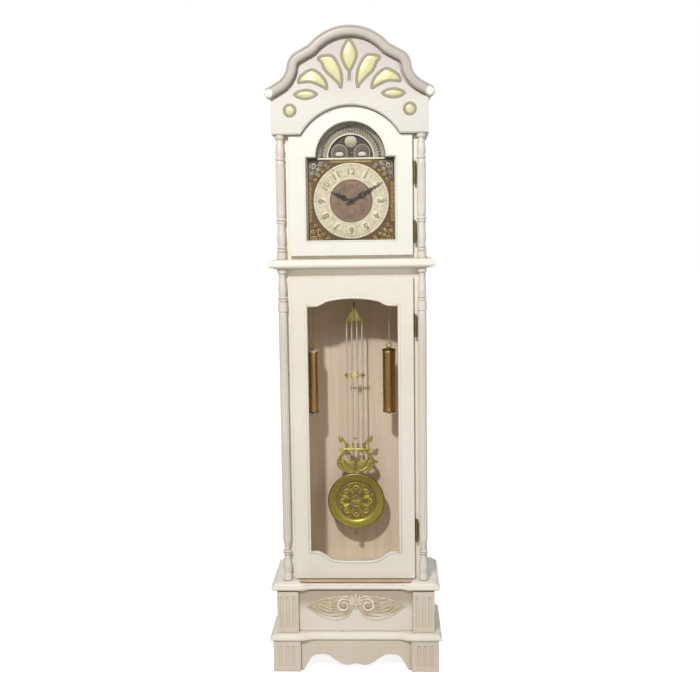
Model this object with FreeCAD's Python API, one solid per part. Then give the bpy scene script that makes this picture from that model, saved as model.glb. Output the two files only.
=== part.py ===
import FreeCAD, Part
import math
import os

from FreeCAD import Vector

# Longcase clock. Millimetres, X to the right, the front faces -Y, Z up.
# The origin is on the floor under the middle of the outline.

# Heights of the stages of the case, from the floor up
base_height = 100.0
lower_ledge_height = 23.0
plinth_height = 132.0
upper_ledge_height = 31.0
waist_height = 988.0
hood_moulding_height = 30.0
hood_height = 378.0
pediment_height = 318.0

# Half width of the case, and how far each stage stands out beyond the one it meets
case_half_width = 228.0
plinth_overhang = 21.0
base_overhang = 13.0
lower_ledge_overhang = 9.0
upper_ledge_overhang = 17.0
frieze_overhang = 11.0
hood_moulding_overhang = 17.0

# Depths
overall_depth = 300.0
apron_setback = 22.0
plinth_setback = 24.0
panel_setback = 38.0
upper_ledge_setback = 18.0
hood_moulding_setback = 25.0
case_setback = 76.0
ledge_bow = 12.0
ledge_curve_run = 46.0
roof_rise = 107.0

# Boards, panes and general clearances
board = 18.0
thin_board = 10.0
roof_board = 12.0
pane = 3.0
face_gap = 0.5
running_gap = 0.05
side_gap = 0.3
overrun = 5.0

# Feet, aprons, posts
foot_width = 87.0
post_width = 68.0
apron_board = 20.0
apron_bracket = 8.0
apron_arch = 54.0
flute_radius = 6.0
flute_pitch = 20.0
flute_depth = 3.5
flute_count = 3
flute_margin = 14.0

# Carving on the plinth panel
carving_margin = 20.0
carving_middle = 82.0
carving_depth = 7.0
carving_rise = 27.0

# Waist door and its window
door_inset = 39.0
door_stile = 49.0
door_low_rail = 89.0
door_high_rail = 91.0
door_board = 18.0
door_bottom_gap = 3.0
waist_door_top_rail = 27.0
stile_overlap = 19.0
window_low_drop = 31.0
window_high_rise = 24.0
pane_lap = 11.0
rebate_depth = 10.0
bead_width = 8.0
bead_height = 4.0

# Hood door
hood_door_foot = 10.0
hood_door_shoulder = 152.0
hood_door_riser = 11.0
hood_door_rise = 15.0
hood_door_arc = 175.5
hood_door_crown_gap = 1.5
hood_stile = 51.5
hood_glass_foot = 57.0
hood_glass_arc = 107.0

# Columns
column_radius = 14.5
column_inset = 12.0
column_setback = 16.5

# Hinges
knuckle_radius = 3.4
knuckle_offset = 6.0
knuckle_length = 70.0
hinge_pin_radius = 1.6
leaf_thickness = 1.4

# Crown of the pediment: arcs in order from the middle, each with the slope reached, in degrees
crown_arch_radius = 160.0
crown_arch_angle = 47.5
crown_dip_radius = 30.0
crown_dip_angle = 28.0
crown_run = 38.0
crown_knee_radius = 52.0
crown_knee_angle = 84.0
crown_sweep_radius = 62.0
crown_sweep_angle = 30.0
crown_horn = 42.0
crown_band = 30.0
crown_reach = 26.0
pediment_board = 28.0
pediment_proud = 32.0
inlay_thickness = 3.0
inlay_proud = 0.6
inlay_groove = 1.5

# Inlays, as distances from the middle and above the frieze
disc_x = 182.0
disc_rise = 72.0
disc_radius = 16.0
eye_x = 133.0
eye_rise = 119.0
eye_half = 34.0
eye_lift = 12.0
outer_petal_low = 134.0
outer_petal_reach = 154.0
outer_petal_height = 57.0
inner_petal_low = 137.0
inner_petal_reach = 91.0
inner_petal_height = 94.0
leaf_low = 158.0
leaf_half = 22.0
leaf_height = 123.0

# Dial
dial_half_width = 140.0
dial_plate_thickness = 3.0
dial_centre_height = 177.0
dial_arch_height = 133.0
dial_arch_lap = 6.0
chapter_outer = 117.0
chapter_inner = 66.0
ring_thickness = 2.5
lunar_outer = 104.0
lunar_inner = 71.0
moon_window_radius = 69.0
moon_hump_radius = 26.0
moon_hump_offset = 35.0
moon_hump_rise = 15.0
moon_radius = 20.0
moon_orbit = 53.0
moon_disc_radius = 75.0
moon_disc_thickness = 1.5
moon_teeth = 118
moon_tooth_depth = 2.0
moon_bar = 6.0
dial_foot_x = 67.0
dial_foot_margin = 20.0

# Hands
minute_hand_length = 113.0
minute_hand_angle = 60.0
hour_hand_length = 72.0
hour_hand_angle = 294.0
hand_thickness = 1.0
minute_arbor_radius = 2.2
hour_pipe_inner = 2.6
hour_pipe_outer = 3.8
hand_boss = 8.0
hand_standoff = 8.5
hands_apart = 4.0

# Movement
plate_half_width = 75.0
plate_height = 212.0
plate_thickness = 2.5
plates_apart = 57.0
plate_setback = 34.0
pillar_radius = 4.0
pillar_inset = 9.0
wheel_thickness = 2.0
pinion_length = 7.0
thin_arbor = 1.2
train_module = 0.8
escape_module = 0.75
great_module = 0.9
centre_teeth = 60
third_leaves = 8
third_teeth = 56
escape_leaves = 7
escape_teeth = 30
escape_radius = 18.0
great_teeth = 96
centre_leaves = 8
motion_teeth = 30
motion_leaves = 6
hour_teeth = 72
drum_radius = 18.0
drum_length = 30.0
drum_flange = 4.0
drum_turns = 8
drum_arbor_radius = 3.0
drum_offset = 40.0
strike_module = 1.0
strike_teeth = 84
motion_stud = 0.9
hub_radius = 5.0
rim_width = 3.5
great_hub_radius = 9.0
great_rim_width = 5.0
motion_pitch = 3.5
strike_inset = 3.0
great_inset = 8.0
third_inset = 24.0
escape_inset = 40.0
centre_inset = 48.0
centre_pinion_lead = 2.5
drum_lead = 5.0
pallet_gap = 2.0
pallet_width = 3.0
pallet_span_angle = 48.0
crutch_gap = 6.0

# Seat board, lines, rollers and weights
seat_top = 59.0
seat_front = 42.0
seat_depth = 90.0
line_radius = 0.8
line_plane = 84.0
weight_left_x = -136.0
weight_right_x = 112.0
roller_radius = 10.0
roller_flange = 12.5
roller_width = 8.0
roller_lift = 22.0
roller_pin_radius = 2.0
bracket_sheet = 2.0
weight_radius = 21.5
weight_length = 206.0
weight_floor_gap = 22.0
weight_travel = 500.0
hook_ring_radius = 8.0
hook_wire = 1.8
hook_neck = 5.0

# Pendulum
pendulum_plane = 136.0
suspension_rise = 69.0
suspension_pin_radius = 2.0
suspension_pin_half = 7.0
cock_half_width = 14.0
cock_half_height = 10.0
cock_cheek = 3.5
cock_gap = 3.0
leader_width = 8.0
leader_thickness = 2.0
leader_length = 407.0
hook_plate_height = 45.0
hook_plate_half = 29.0
rod_radius = 2.4
rod_spacing = 25.0
cross_bar_drop = 177.0
cross_bar_half = 33.0
lyre_height = 118.0
lyre_tip_rise = 40.0
lyre_half = 62.0
lyre_thickness = 4.0
lyre_bar_half = 51.0
lyre_gap = 3.0
bob_rise = 217.0
bob_radius = 94.0
bob_thickness = 20.0
bob_rim = 9.0
bob_edge = 2.5
bob_boss_radius = 66.0
bob_boss_depth = 3.0
bob_field_depth = 5.5
bob_step = 4.0
rating_screw = 24.0
rating_nut_drop = 12.0
rating_nut_height = 6.0
rating_nut_radius = 8.4
pallet_drop = 30.0
crutch_length = 96.0

# Strike
gong_rod_radius = 1.5
gong_rod_length = 118.0
gong_rod_gap = 12.0
gong_block_height = 20.0
hammer_x = 60.0
hammer_arm = 88.0
hammer_head_radius = 7.0
hammer_boss = 10.0
hammer_stud_radius = 2.0
hammer_stud_end = 2.0
hammer_rise = 27.0
hammer_standoff = 61.0

# Worked-out half widths
plinth_half_width = case_half_width + plinth_overhang
base_half_width = plinth_half_width + base_overhang
lower_ledge_half_width = base_half_width + lower_ledge_overhang
upper_ledge_half_width = plinth_half_width + upper_ledge_overhang
frieze_half_width = case_half_width + frieze_overhang
hood_moulding_half_width = frieze_half_width + hood_moulding_overhang
door_half_width = case_half_width - door_inset
window_half_width = door_half_width - door_stile
hood_glass_half = door_half_width - hood_stile
apron_opening_half = base_half_width - foot_width - apron_bracket
carving_half = plinth_half_width - post_width - carving_margin
column_x = case_half_width - column_inset
knuckle_x = door_half_width + knuckle_offset

# Worked-out levels and planes
floor_level = 0.0
ledge_level = floor_level + base_height
plinth_level = ledge_level + lower_ledge_height
shelf_level = plinth_level + plinth_height
waist_level = shelf_level + upper_ledge_height
cornice_level = waist_level + waist_height
hood_level = cornice_level + hood_moulding_height
frieze_level = hood_level + hood_height
top_level = frieze_level + pediment_height
roof_level = frieze_level + roof_rise
waist_door_low = waist_level + door_bottom_gap
waist_door_high = cornice_level - waist_door_top_rail
window_low_shoulder = waist_door_low + door_low_rail
window_high_shoulder = waist_door_high - door_high_rail
back_plane = overall_depth / 2
front_plane = back_plane - overall_depth
face_plane = front_plane + case_setback
inner_face = face_plane + board
door_back = face_plane - face_gap
door_face = door_back - door_board
side_inner = case_half_width - board
pediment_face = face_plane - pediment_proud
pediment_back = pediment_face + pediment_board
crown_face = pediment_face - crown_reach
dial_back = inner_face + dial_plate_thickness
dial_z = hood_level + dial_centre_height
arch_z = dial_z + dial_arch_height
plate_front = dial_back + plate_setback - dial_plate_thickness
plate_rear = plate_front + plates_apart + 2 * plate_thickness
seat_z = hood_level + seat_top
suspension_z = dial_z + suspension_rise
line_y = face_plane + line_plane
pendulum_y = face_plane + pendulum_plane
crutch_y = plate_rear + crutch_gap
hammer_y = plate_rear + hammer_standoff
hammer_z = seat_z + hammer_rise
hook_plate_apex = suspension_z - leader_length
hook_plate_base = hook_plate_apex - hook_plate_height
cross_bar_height = hook_plate_base - cross_bar_drop
bob_height = waist_level + bob_rise
lyre_foot_height = bob_height + bob_radius + lyre_gap
lyre_tip_height = lyre_foot_height + lyre_height
lyre_bar_height = lyre_tip_height - lyre_tip_rise
weight_bottom = waist_level + weight_floor_gap + weight_travel

# Shares of the half opening and of the rise that shape the curves
apron_shares = [(0.90, 0.56), (0.80, 0.91), (0.69, 0.98), (0.56, 0.95), (0.44, 0.74),
                (0.30, 0.44), (0.16, 0.33), (0.0, 0.41)]
window_top_shares = [(0.81, 0.0), (0.69, 0.26), (0.58, 0.60), (0.29, 0.90), (0.0, 1.0)]
window_low_shares = [(0.81, 0.0), (0.67, 0.39), (0.52, 0.80), (0.29, 0.985), (0.0, 1.0)]
carving_top_shares = [(1.0, 0.0), (0.87, 0.33), (0.65, 0.40), (0.50, 0.78), (0.35, 0.95), (0.24, 0.72),
                      (0.16, 0.85), (0.0, 1.55)]
carving_low_shares = [(0.0, -0.45), (0.16, -0.75), (0.28, -0.95), (0.42, -1.65), (0.56, -1.30),
                      (0.75, -0.95), (0.90, -0.45), (1.0, 0.0)]
lyre_outer_shares = [(0.60, 0.0), (0.95, 0.14), (1.0, 0.30), (0.80, 0.50), (0.55, 0.66), (0.62, 0.84),
                     (0.87, 1.0)]
lyre_inner_shares = [(0.70, 0.96), (0.50, 0.84), (0.40, 0.66), (0.62, 0.48), (0.80, 0.30), (0.74, 0.18),
                     (0.35, 0.10)]
lyre_throat_share = 0.10
outer_petal_shares = [(0.442, 0.0), (0.468, 0.386), (0.591, 0.807), (0.747, 1.0), (0.948, 0.684),
                      (1.0, 0.351), (0.773, 0.404), (0.571, 0.193)]
inner_petal_shares = [(0.286, 0.0), (0.253, 0.277), (0.330, 0.638), (0.582, 1.0), (1.0, 0.957),
                      (0.901, 0.809), (0.791, 0.564), (0.582, 0.362), (0.374, 0.160)]
leaf_shares = [(0.0, 1.0), (0.591, 0.846), (1.0, 0.667), (0.864, 0.488), (0.364, 0.301), (0.273, 0.138),
               (0.0, 0.0)]
minute_shares = [(0.018, -0.16), (0.030, 0.0), (0.022, 0.22), (0.075, 0.36), (0.022, 0.48), (0.050, 0.58),
                 (0.016, 0.68), (0.004, 1.0)]
hour_shares = [(0.030, 0.0), (0.035, 0.24), (0.130, 0.36), (0.050, 0.50), (0.095, 0.60), (0.028, 0.76),
               (0.006, 1.0)]
hand_hole_shares = [(0.36, 0.045), (0.58, 0.028)]

# Section of a ledge, as shares of its height and of its insets
fillet_share = 0.08
quarter_round_share = 0.32
nose_share = 0.62
hollow_low_share = 0.66
hollow_rise_share = 0.30
hollow_depth_share = 0.82
arc_steps = 5

# Section of the crown, as shares of its reach and of its band
crown_lip_shares = [(0.0, 0.20), (0.10, 0.22)]
crown_hollow_shares = (0.62, 0.56)
crown_bead_shares = [(0.80, 0.86), (0.90, 0.97), (1.0, 1.0)]

# Turnings, as shares of the column's radius: foot, belly and neck of a vase, root and swell of a ring
belly_share = 0.3
waist_foot_shares = (0.72, 1.0, 0.55)
waist_cap_shares = (0.70, 0.90, 0.62)
waist_ring_shares = (0.75, 0.25)
hood_foot_shares = (0.72, 0.92, 0.70)
hood_cap_shares = (0.72, 0.92, 0.68)
hood_ring_shares = (0.78, 0.22)
shaft_share = 0.92
block_neck_share = 0.80
point_share = 0.50
shaft_root_share = 0.72

# Heights along the waist columns, as shares of the waist height
neck_low_share = 0.914
ring_low_share = 0.899
block_high_share = 0.895
block_low_share = 0.866
shaft_high_share = 0.860
shaft_low_share = 0.131
point_low_share = 0.109
foot_ring_high_share = 0.098
foot_ring_low_share = 0.085
base_ring_share = 0.020
cap_share = 0.985
groove_low_share = 0.151
groove_high_share = 0.850

# Heights along the hood columns, as shares of the hood height
hood_base_share = 0.058
hood_ring_share = 0.109
hood_lower_share = 0.286
hood_ring_top_share = 0.336
hood_shaft_low_share = 0.366
hood_shaft_high_share = 0.769
hood_shaft_share = 0.799
hood_cap_share = 0.820
hood_block_share = 0.97

# Hinge middles, as shares of each door's height, and the corner ornaments of the dial
waist_hinge_shares = (0.16, 0.84)
hood_hinge_shares = (0.19, 0.68)
spandrel_share = 0.52

# Teeth: thickness at the pitch line, root and tip as shares of the pitch, then the
# addendum and dedendum as shares of the module
leaf_tooth_shares = (0.34, 0.40, 0.16, 0.75, 1.35)
wheel_tooth_shares = (0.40, 0.52, 0.14, 0.85, 1.15)
escape_root_share = 0.86
escape_tip_share = 0.55
escape_back_share = 0.50
escape_hub_share = 0.24
escape_rim_share = 0.70


def at(x, z, y=0.0):
    return Vector(x, y, z)


def block(x0, x1, y0, y1, z0, z1):
    return Part.makeBox(x1 - x0, y1 - y0, z1 - z0, Vector(x0, y0, z0))


def pair(shape):
    other = shape.mirror(Vector(0, 0, 0), Vector(1, 0, 0))
    return [shape, other]


def rod_along_y(x, z, radius, y0, y1):
    return Part.makeCylinder(radius, y1 - y0, Vector(x, y0, z), Vector(0, 1, 0))


def rod_along_z(x, y, radius, z0, z1):
    return Part.makeCylinder(radius, z1 - z0, Vector(x, y, z0), Vector(0, 0, 1))


def rod_between(start, end, radius):
    return Part.makeCylinder(radius, (end - start).Length, start, end - start)


def slab(edges, y0, y1):
    # A flat board cut to an outline that lies in the plane y = 0
    face = Part.Face(Part.Wire(edges))
    face.translate(Vector(0, y0, 0))
    return face.extrude(Vector(0, y1 - y0, 0))


def straight_edges(points):
    return [Part.LineSegment(a, b).toShape() for a, b in zip(points, points[1:])]


def polygon(points):
    return straight_edges(points + points[:1])


def smooth_edge(points):
    curve = Part.BSplineCurve()
    curve.interpolate(points)
    return curve.toShape()


def arc_edge(start, middle, end):
    return Part.Arc(start, middle, end).toShape()


def wave(half, level, rise, shares):
    # Points of a mirrored curve, from the right-hand end to the left-hand end
    right = [at(half * x, level + rise * z) for x, z in shares]
    left = [at(-p.x, p.z) for p in reversed(right) if p.x > 0]
    return right + left


def fuse(shapes):
    whole = shapes[0]
    for shape in shapes[1:]:
        whole = whole.fuse(shape)
    return whole.removeSplitter()


def turned(x, y, profile):
    # A turning about the upright through (x, y): profile holds (radius, height) points
    points = [Vector(x, y, profile[0][1])]
    points += [Vector(x + r, y, z) for r, z in profile]
    points += [Vector(x, y, profile[-1][1])]
    face = Part.Face(Part.Wire(polygon(points)))
    return face.revolve(Vector(x, y, 0), Vector(0, 0, 1), 360)


def turned_along_y(x, z, profile):
    # A turning about the line through (x, z) that runs front to back: profile holds (radius, depth) points
    points = [Vector(x, profile[0][1], z)]
    points += [Vector(x + r, y, z) for r, y in profile]
    points += [Vector(x, profile[-1][1], z)]
    face = Part.Face(Part.Wire(polygon(points)))
    return face.revolve(Vector(x, 0, z), Vector(0, 1, 0), 360)


def bead_profile(outer, shares, low, high, steps=6):
    # A rounded ring between two heights
    radius, swell = (outer * share for share in shares)
    middle = (low + high) / 2
    half = (high - low) / 2
    angles = [math.pi * (k / steps - 0.5) for k in range(steps + 1)]
    return [(radius + swell * math.cos(a), middle + half * math.sin(a)) for a in angles]


def vase_profile(radius, shares, low, high, steps=8):
    # A baluster: swells from the foot and draws in towards the neck
    foot, belly, neck = (radius * share for share in shares)
    points = []
    for k in range(steps + 1):
        share = k / steps
        if share < belly_share:
            radius = foot + (belly - foot) * math.sin(math.pi / 2 * share / belly_share)
        else:
            fall = (share - belly_share) / (1 - belly_share)
            radius = neck + (belly - neck) * (0.5 + 0.5 * math.cos(math.pi * fall))
        points.append((radius, low + (high - low) * share))
    return points


def fluted(shape, grooves):
    for groove in grooves:
        shape = shape.cut(groove)
    return shape


def flute(start, end, radius):
    # A round-ended groove cutter
    return fuse([rod_between(start, end, radius), Part.makeSphere(radius, start), Part.makeSphere(radius, end)])


def post_grooves(x0, x1, y0, y1, z0, z1):
    # Upright grooves down the front and the outer side of a post on the right
    reach = flute_radius - flute_depth
    low = z0 + flute_margin + flute_radius
    high = z1 - flute_margin - flute_radius
    cutters = []
    for k in range(flute_count):
        shift = (k - (flute_count - 1) / 2) * flute_pitch
        x = (x0 + x1) / 2 + shift
        y = (y0 + y1) / 2 + shift
        cutters.append(flute(Vector(x, y0 - reach, low), Vector(x, y0 - reach, high), flute_radius))
        cutters.append(flute(Vector(x1 + reach, y, low), Vector(x1 + reach, y, high), flute_radius))
    return cutters


def apron_edges(half_width, opening, low, high, rise):
    # A board whose lower edge rises in a shaped arch between two brackets
    top = [at(opening, low), at(half_width, low), at(half_width, high), at(-half_width, high),
           at(-half_width, low), at(-opening, low)]
    curve = [at(opening, low)] + wave(opening, low, rise, apron_shares) + [at(-opening, low)]
    return straight_edges(top) + [smooth_edge(curve)]


def make_front_feet():
    x0, x1 = base_half_width - foot_width, base_half_width
    y0 = front_plane + lower_ledge_overhang
    foot = block(x0, x1, y0, y0 + foot_width, floor_level, ledge_level)
    foot = fluted(foot, post_grooves(x0, x1, y0, y0 + foot_width, floor_level, ledge_level))
    return Part.makeCompound(pair(foot))


def make_apron_front():
    y0 = front_plane + apron_setback
    half = base_half_width - foot_width
    return slab(apron_edges(half, apron_opening_half, floor_level, ledge_level, apron_arch),
                y0, y0 + apron_board)


def make_base_boards():
    y0 = front_plane + lower_ledge_overhang + foot_width
    y1 = back_plane - board
    half = (y1 - y0) / 2
    opening = half - foot_width / 2
    side = slab(apron_edges(half, opening, floor_level, ledge_level, apron_arch), 0, board)
    side.rotate(Vector(0, 0, 0), Vector(0, 0, 1), 90)
    side.translate(Vector(base_half_width - apron_board + board, (y0 + y1) / 2, 0))
    back_half = base_half_width - apron_board + board
    back = slab(apron_edges(back_half, apron_opening_half, floor_level, ledge_level, apron_arch),
                y1, back_plane)
    return Part.makeCompound(pair(side) + [back])


def ledge_wire(half, corner_y, bow, block_inner, bow_outer, inset, z):
    # Outline of a ledge: corner blocks stand forward, an S-curve draws the middle back
    x = half - inset
    y = corner_y + inset
    run = block_inner - bow_outer
    radius = (run * run + bow * bow) / (4 * bow)
    first = Vector(block_inner, corner_y + radius, z)
    second = Vector(bow_outer, corner_y + bow - radius, z)
    along = (second - first).normalize()
    joint = first + along * (radius - inset)
    first_middle = first + (along + Vector(0, -1, 0)).normalize() * (radius - inset)
    second_middle = second + (along * -1 + Vector(0, 1, 0)).normalize() * (radius + inset)
    right = [Vector(x, back_plane, z), Vector(x, y, z), Vector(block_inner, y, z), first_middle, joint,
             second_middle, Vector(bow_outer, corner_y + bow + inset, z)]
    left = [Vector(-p.x, p.y, p.z) for p in reversed(right)]
    edges = straight_edges(right[:3])
    edges += [arc_edge(right[2], right[3], right[4]), arc_edge(right[4], right[5], right[6])]
    edges += straight_edges([right[6], left[0]])
    edges += [arc_edge(left[0], left[1], left[2]), arc_edge(left[2], left[3], left[4])]
    edges += straight_edges(left[4:] + right[:1])
    return Part.Wire(edges)


def moulding_steps(height, low_inset, top_inset):
    # Section of a ledge: a square foot, a quarter round out to the nose, a fillet and a hollow above
    steps = [(0.0, low_inset), (height * fillet_share, low_inset)]
    for k in range(1, arc_steps + 1):
        angle = math.pi / 2 * k / arc_steps
        rise = fillet_share + quarter_round_share * (1 - math.cos(angle))
        steps.append((height * rise, low_inset * (1 - math.sin(angle))))
    steps.append((height * nose_share, 0.0))
    for k in range(arc_steps + 1):
        angle = math.pi / 2 * k / arc_steps
        rise = hollow_low_share + hollow_rise_share * math.sin(angle)
        steps.append((height * rise, top_inset * (1 - hollow_depth_share * math.cos(angle))))
    steps.append((height, top_inset))
    return steps


def make_ledge(half, corner_y, level, height, low_inset, top_inset):
    wires = []
    block_inner = base_half_width - foot_width
    for rise, inset in moulding_steps(height, low_inset, top_inset):
        wires.append(ledge_wire(half, corner_y, ledge_bow, block_inner, block_inner - ledge_curve_run,
                                inset, level + rise))
    return Part.makeLoft(wires, True, True)


def make_lower_ledge():
    return make_ledge(lower_ledge_half_width, front_plane, ledge_level, lower_ledge_height,
                      lower_ledge_half_width - base_half_width,
                      lower_ledge_half_width - plinth_half_width)


def make_upper_ledge():
    return make_ledge(upper_ledge_half_width, front_plane + upper_ledge_setback, shelf_level,
                      upper_ledge_height, upper_ledge_half_width - plinth_half_width,
                      upper_ledge_half_width - case_half_width)


def make_plinth_posts():
    x0, x1 = plinth_half_width - post_width, plinth_half_width
    y0 = front_plane + plinth_setback
    post = block(x0, x1, y0, y0 + post_width, plinth_level, shelf_level)
    post = fluted(post, post_grooves(x0, x1, y0, y0 + post_width, plinth_level, shelf_level))
    return Part.makeCompound(pair(post))


def make_plinth_panel():
    y0 = front_plane + panel_setback
    half = plinth_half_width - post_width
    return block(-half, half, y0, y0 + board, plinth_level, shelf_level)


def make_plinth_boards():
    x1 = plinth_half_width - (panel_setback - plinth_setback) / 2
    y0 = front_plane + plinth_setback + post_width
    side = block(x1 - board, x1, y0, back_plane, plinth_level, shelf_level)
    back = block(board - x1, x1 - board, back_plane - board, back_plane, plinth_level, shelf_level)
    return Part.makeCompound(pair(side) + [back])


def make_carved_ornament():
    # Two leaf swags and a middle shell, raised on the panel
    level = plinth_level + carving_middle
    y1 = front_plane + panel_setback
    top = wave(carving_half, level, carving_rise, carving_top_shares)
    right = [at(carving_half * x, level + carving_rise * z) for x, z in carving_low_shares]
    low = [at(-p.x, p.z) for p in reversed(right)] + right[1:]
    blank = slab([smooth_edge(top), smooth_edge(low)], y1 - carving_depth, y1)
    return blank


def make_back_board():
    return block(-side_inner, side_inner, back_plane - thin_board, back_plane, waist_level, roof_level)


def make_case_sides():
    side = block(side_inner, case_half_width, inner_face, back_plane, waist_level, roof_level)
    return Part.makeCompound(pair(side))


def make_waist_face_frame():
    half = door_half_width - stile_overlap
    frame = block(-case_half_width, case_half_width, face_plane, inner_face, waist_level, hood_level)
    hole = block(-half, half, face_plane - overrun, inner_face + overrun,
                 waist_door_low + stile_overlap, waist_door_high - stile_overlap)
    return frame.cut(hole)


def window_edges():
    top = [at(window_half_width, window_high_shoulder)]
    top += wave(window_half_width, window_high_shoulder, window_high_rise, window_top_shares)
    top += [at(-window_half_width, window_high_shoulder)]
    low = [at(window_half_width, window_low_shoulder)]
    low += wave(window_half_width, window_low_shoulder, -window_low_drop, window_low_shares)
    low += [at(-window_half_width, window_low_shoulder)]
    low.reverse()
    edges = straight_edges(top[:2]) + [smooth_edge(top[1:-1])] + straight_edges(top[-2:])
    edges += straight_edges([top[-1], low[0], low[1]]) + [smooth_edge(low[1:-1])]
    edges += straight_edges([low[-2], low[-1], top[0]])
    return edges


def rebate_box(half, low, high):
    return block(-half, half, door_back - rebate_depth, door_back + overrun, low, high)


def pane_beads(half, low, high, glass_front):
    # Four strips that hold a pane from behind
    y0 = glass_front + pane
    y1 = y0 + bead_height
    upright = block(half - bead_width, half, y0, y1, low, high)
    rail_half = half - bead_width
    return pair(upright) + [block(-rail_half, rail_half, y0, y1, low, low + bead_width),
                            block(-rail_half, rail_half, y0, y1, high - bead_width, high)]


waist_pane_low = window_low_shoulder - window_low_drop - pane_lap
waist_pane_high = window_high_shoulder + window_high_rise + pane_lap
waist_pane_half = window_half_width + pane_lap
hood_pane_low = hood_level + hood_glass_foot - pane_lap
hood_pane_half = hood_glass_half + pane_lap


def stiles_and_rails(door, half, low, high):
    # The door as it is joined: two upright stiles, with a rail between them below and above
    far = 2 * door_half_width
    y0, y1 = door_face - overrun, door_back + overrun
    bottom, top = floor_level, 2 * top_level
    stiles = [door.common(block(x0, x1, y0, y1, bottom, high)) for x0, x1 in ((-far, -half), (half, far))]
    low_rail = door.common(block(-half, half, y0, y1, bottom, low))
    head = door.common(block(-far, far, y0, y1, high, top))
    return [solid for shape in stiles + [low_rail, head] for solid in shape.Solids]


def make_waist_door_frame():
    door = block(-door_half_width, door_half_width, door_face, door_back, waist_door_low, waist_door_high)
    door = door.cut(slab(window_edges(), door_face - overrun, door_back + overrun))
    door = door.cut(rebate_box(waist_pane_half, waist_pane_low, waist_pane_high))
    beads = pane_beads(waist_pane_half, waist_pane_low, waist_pane_high, door_back - rebate_depth)
    parts = stiles_and_rails(door, window_half_width, window_low_shoulder, window_high_shoulder)
    return Part.makeCompound(parts + beads)


def make_waist_door_glass():
    y0 = door_back - rebate_depth
    return block(-waist_pane_half, waist_pane_half, y0, y0 + pane, waist_pane_low, waist_pane_high)


def hood_opening_edges(half, low, shoulder, radius, centre):
    # A rectangle with an arch on its top edge
    points = [at(-radius, shoulder), at(-half, shoulder), at(-half, low), at(half, low),
              at(half, shoulder), at(radius, shoulder)]
    top = centre + radius
    return straight_edges(points) + [arc_edge(points[-1], at(0, top), points[0])]


def hood_door_edges(clearance):
    # The door's outline follows the pediment board's lower edge
    level = frieze_level - clearance
    radius = hood_door_arc - clearance
    foot = hood_door_shoulder - hood_door_riser
    centre = frieze_level + hood_door_rise - math.sqrt(hood_door_arc ** 2 - foot ** 2)
    inner = foot - clearance
    spring = centre + math.sqrt(radius ** 2 - inner ** 2)
    right = [at(inner, spring), at(hood_door_shoulder - clearance, level)]
    left = [at(-p.x, p.z) for p in right]
    return right, left, at(0, centre + radius)


def make_hood_door_frame():
    right, left, top = hood_door_edges(hood_door_crown_gap)
    low = hood_level + hood_door_foot
    level = right[1].z
    outline = [left[0], left[1], at(-door_half_width, level), at(-door_half_width, low),
               at(door_half_width, low), at(door_half_width, level), right[1], right[0]]
    door = slab(straight_edges(outline) + [arc_edge(right[0], top, left[0])], door_face, door_back)
    glass_low = hood_level + hood_glass_foot
    hole = slab(hood_opening_edges(hood_glass_half, glass_low, arch_z, hood_glass_arc, arch_z),
                door_face - overrun, door_back + overrun)
    rebate = slab(hood_opening_edges(hood_pane_half, hood_pane_low, arch_z + pane_lap,
                                     hood_glass_arc + pane_lap, arch_z),
                  door_back - rebate_depth, door_back + overrun)
    door = door.cut(hole).cut(rebate)
    return Part.makeCompound(stiles_and_rails(door, hood_glass_half, glass_low, arch_z))


def make_hood_door_glass():
    y0 = door_back - rebate_depth
    return slab(hood_opening_edges(hood_pane_half, hood_pane_low, arch_z + pane_lap,
                                   hood_glass_arc + pane_lap, arch_z), y0, y0 + pane)


def hood_moulding_wire(inset, z):
    x = hood_moulding_half_width - inset
    y = front_plane + hood_moulding_setback + inset
    points = [Vector(-x, back_plane, z), Vector(-x, y, z), Vector(x, y, z), Vector(x, back_plane, z),
              Vector(case_half_width, back_plane, z), Vector(case_half_width, face_plane, z),
              Vector(-case_half_width, face_plane, z), Vector(-case_half_width, back_plane, z)]
    return Part.Wire(polygon(points))


def make_hood_moulding():
    low_inset = hood_moulding_half_width - frieze_half_width
    steps = moulding_steps(hood_moulding_height, low_inset, low_inset)
    wires = [hood_moulding_wire(inset, cornice_level + rise) for rise, inset in steps]
    return Part.makeLoft(wires, True, True)


def make_hood_face_frame():
    top = roof_level
    frame = block(-case_half_width, case_half_width, face_plane, inner_face, hood_level, top)
    half = dial_half_width - dial_arch_lap
    low = dial_z - dial_half_width + dial_arch_lap
    hole = slab(hood_opening_edges(half, low, arch_z, hood_glass_arc, arch_z),
                face_plane - overrun, inner_face + overrun)
    return frame.cut(hole)


def column_grooves(x, y, radius, low, high, count=8):
    reach = radius + flute_radius / 2
    cutters = []
    for k in range(count):
        angle = 2 * math.pi * (k + 0.5) / count
        cx = x + reach * math.cos(angle)
        cy = y + reach * math.sin(angle)
        cutters.append(rod_along_z(cx, cy, flute_radius, low, high))
    return cutters


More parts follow.
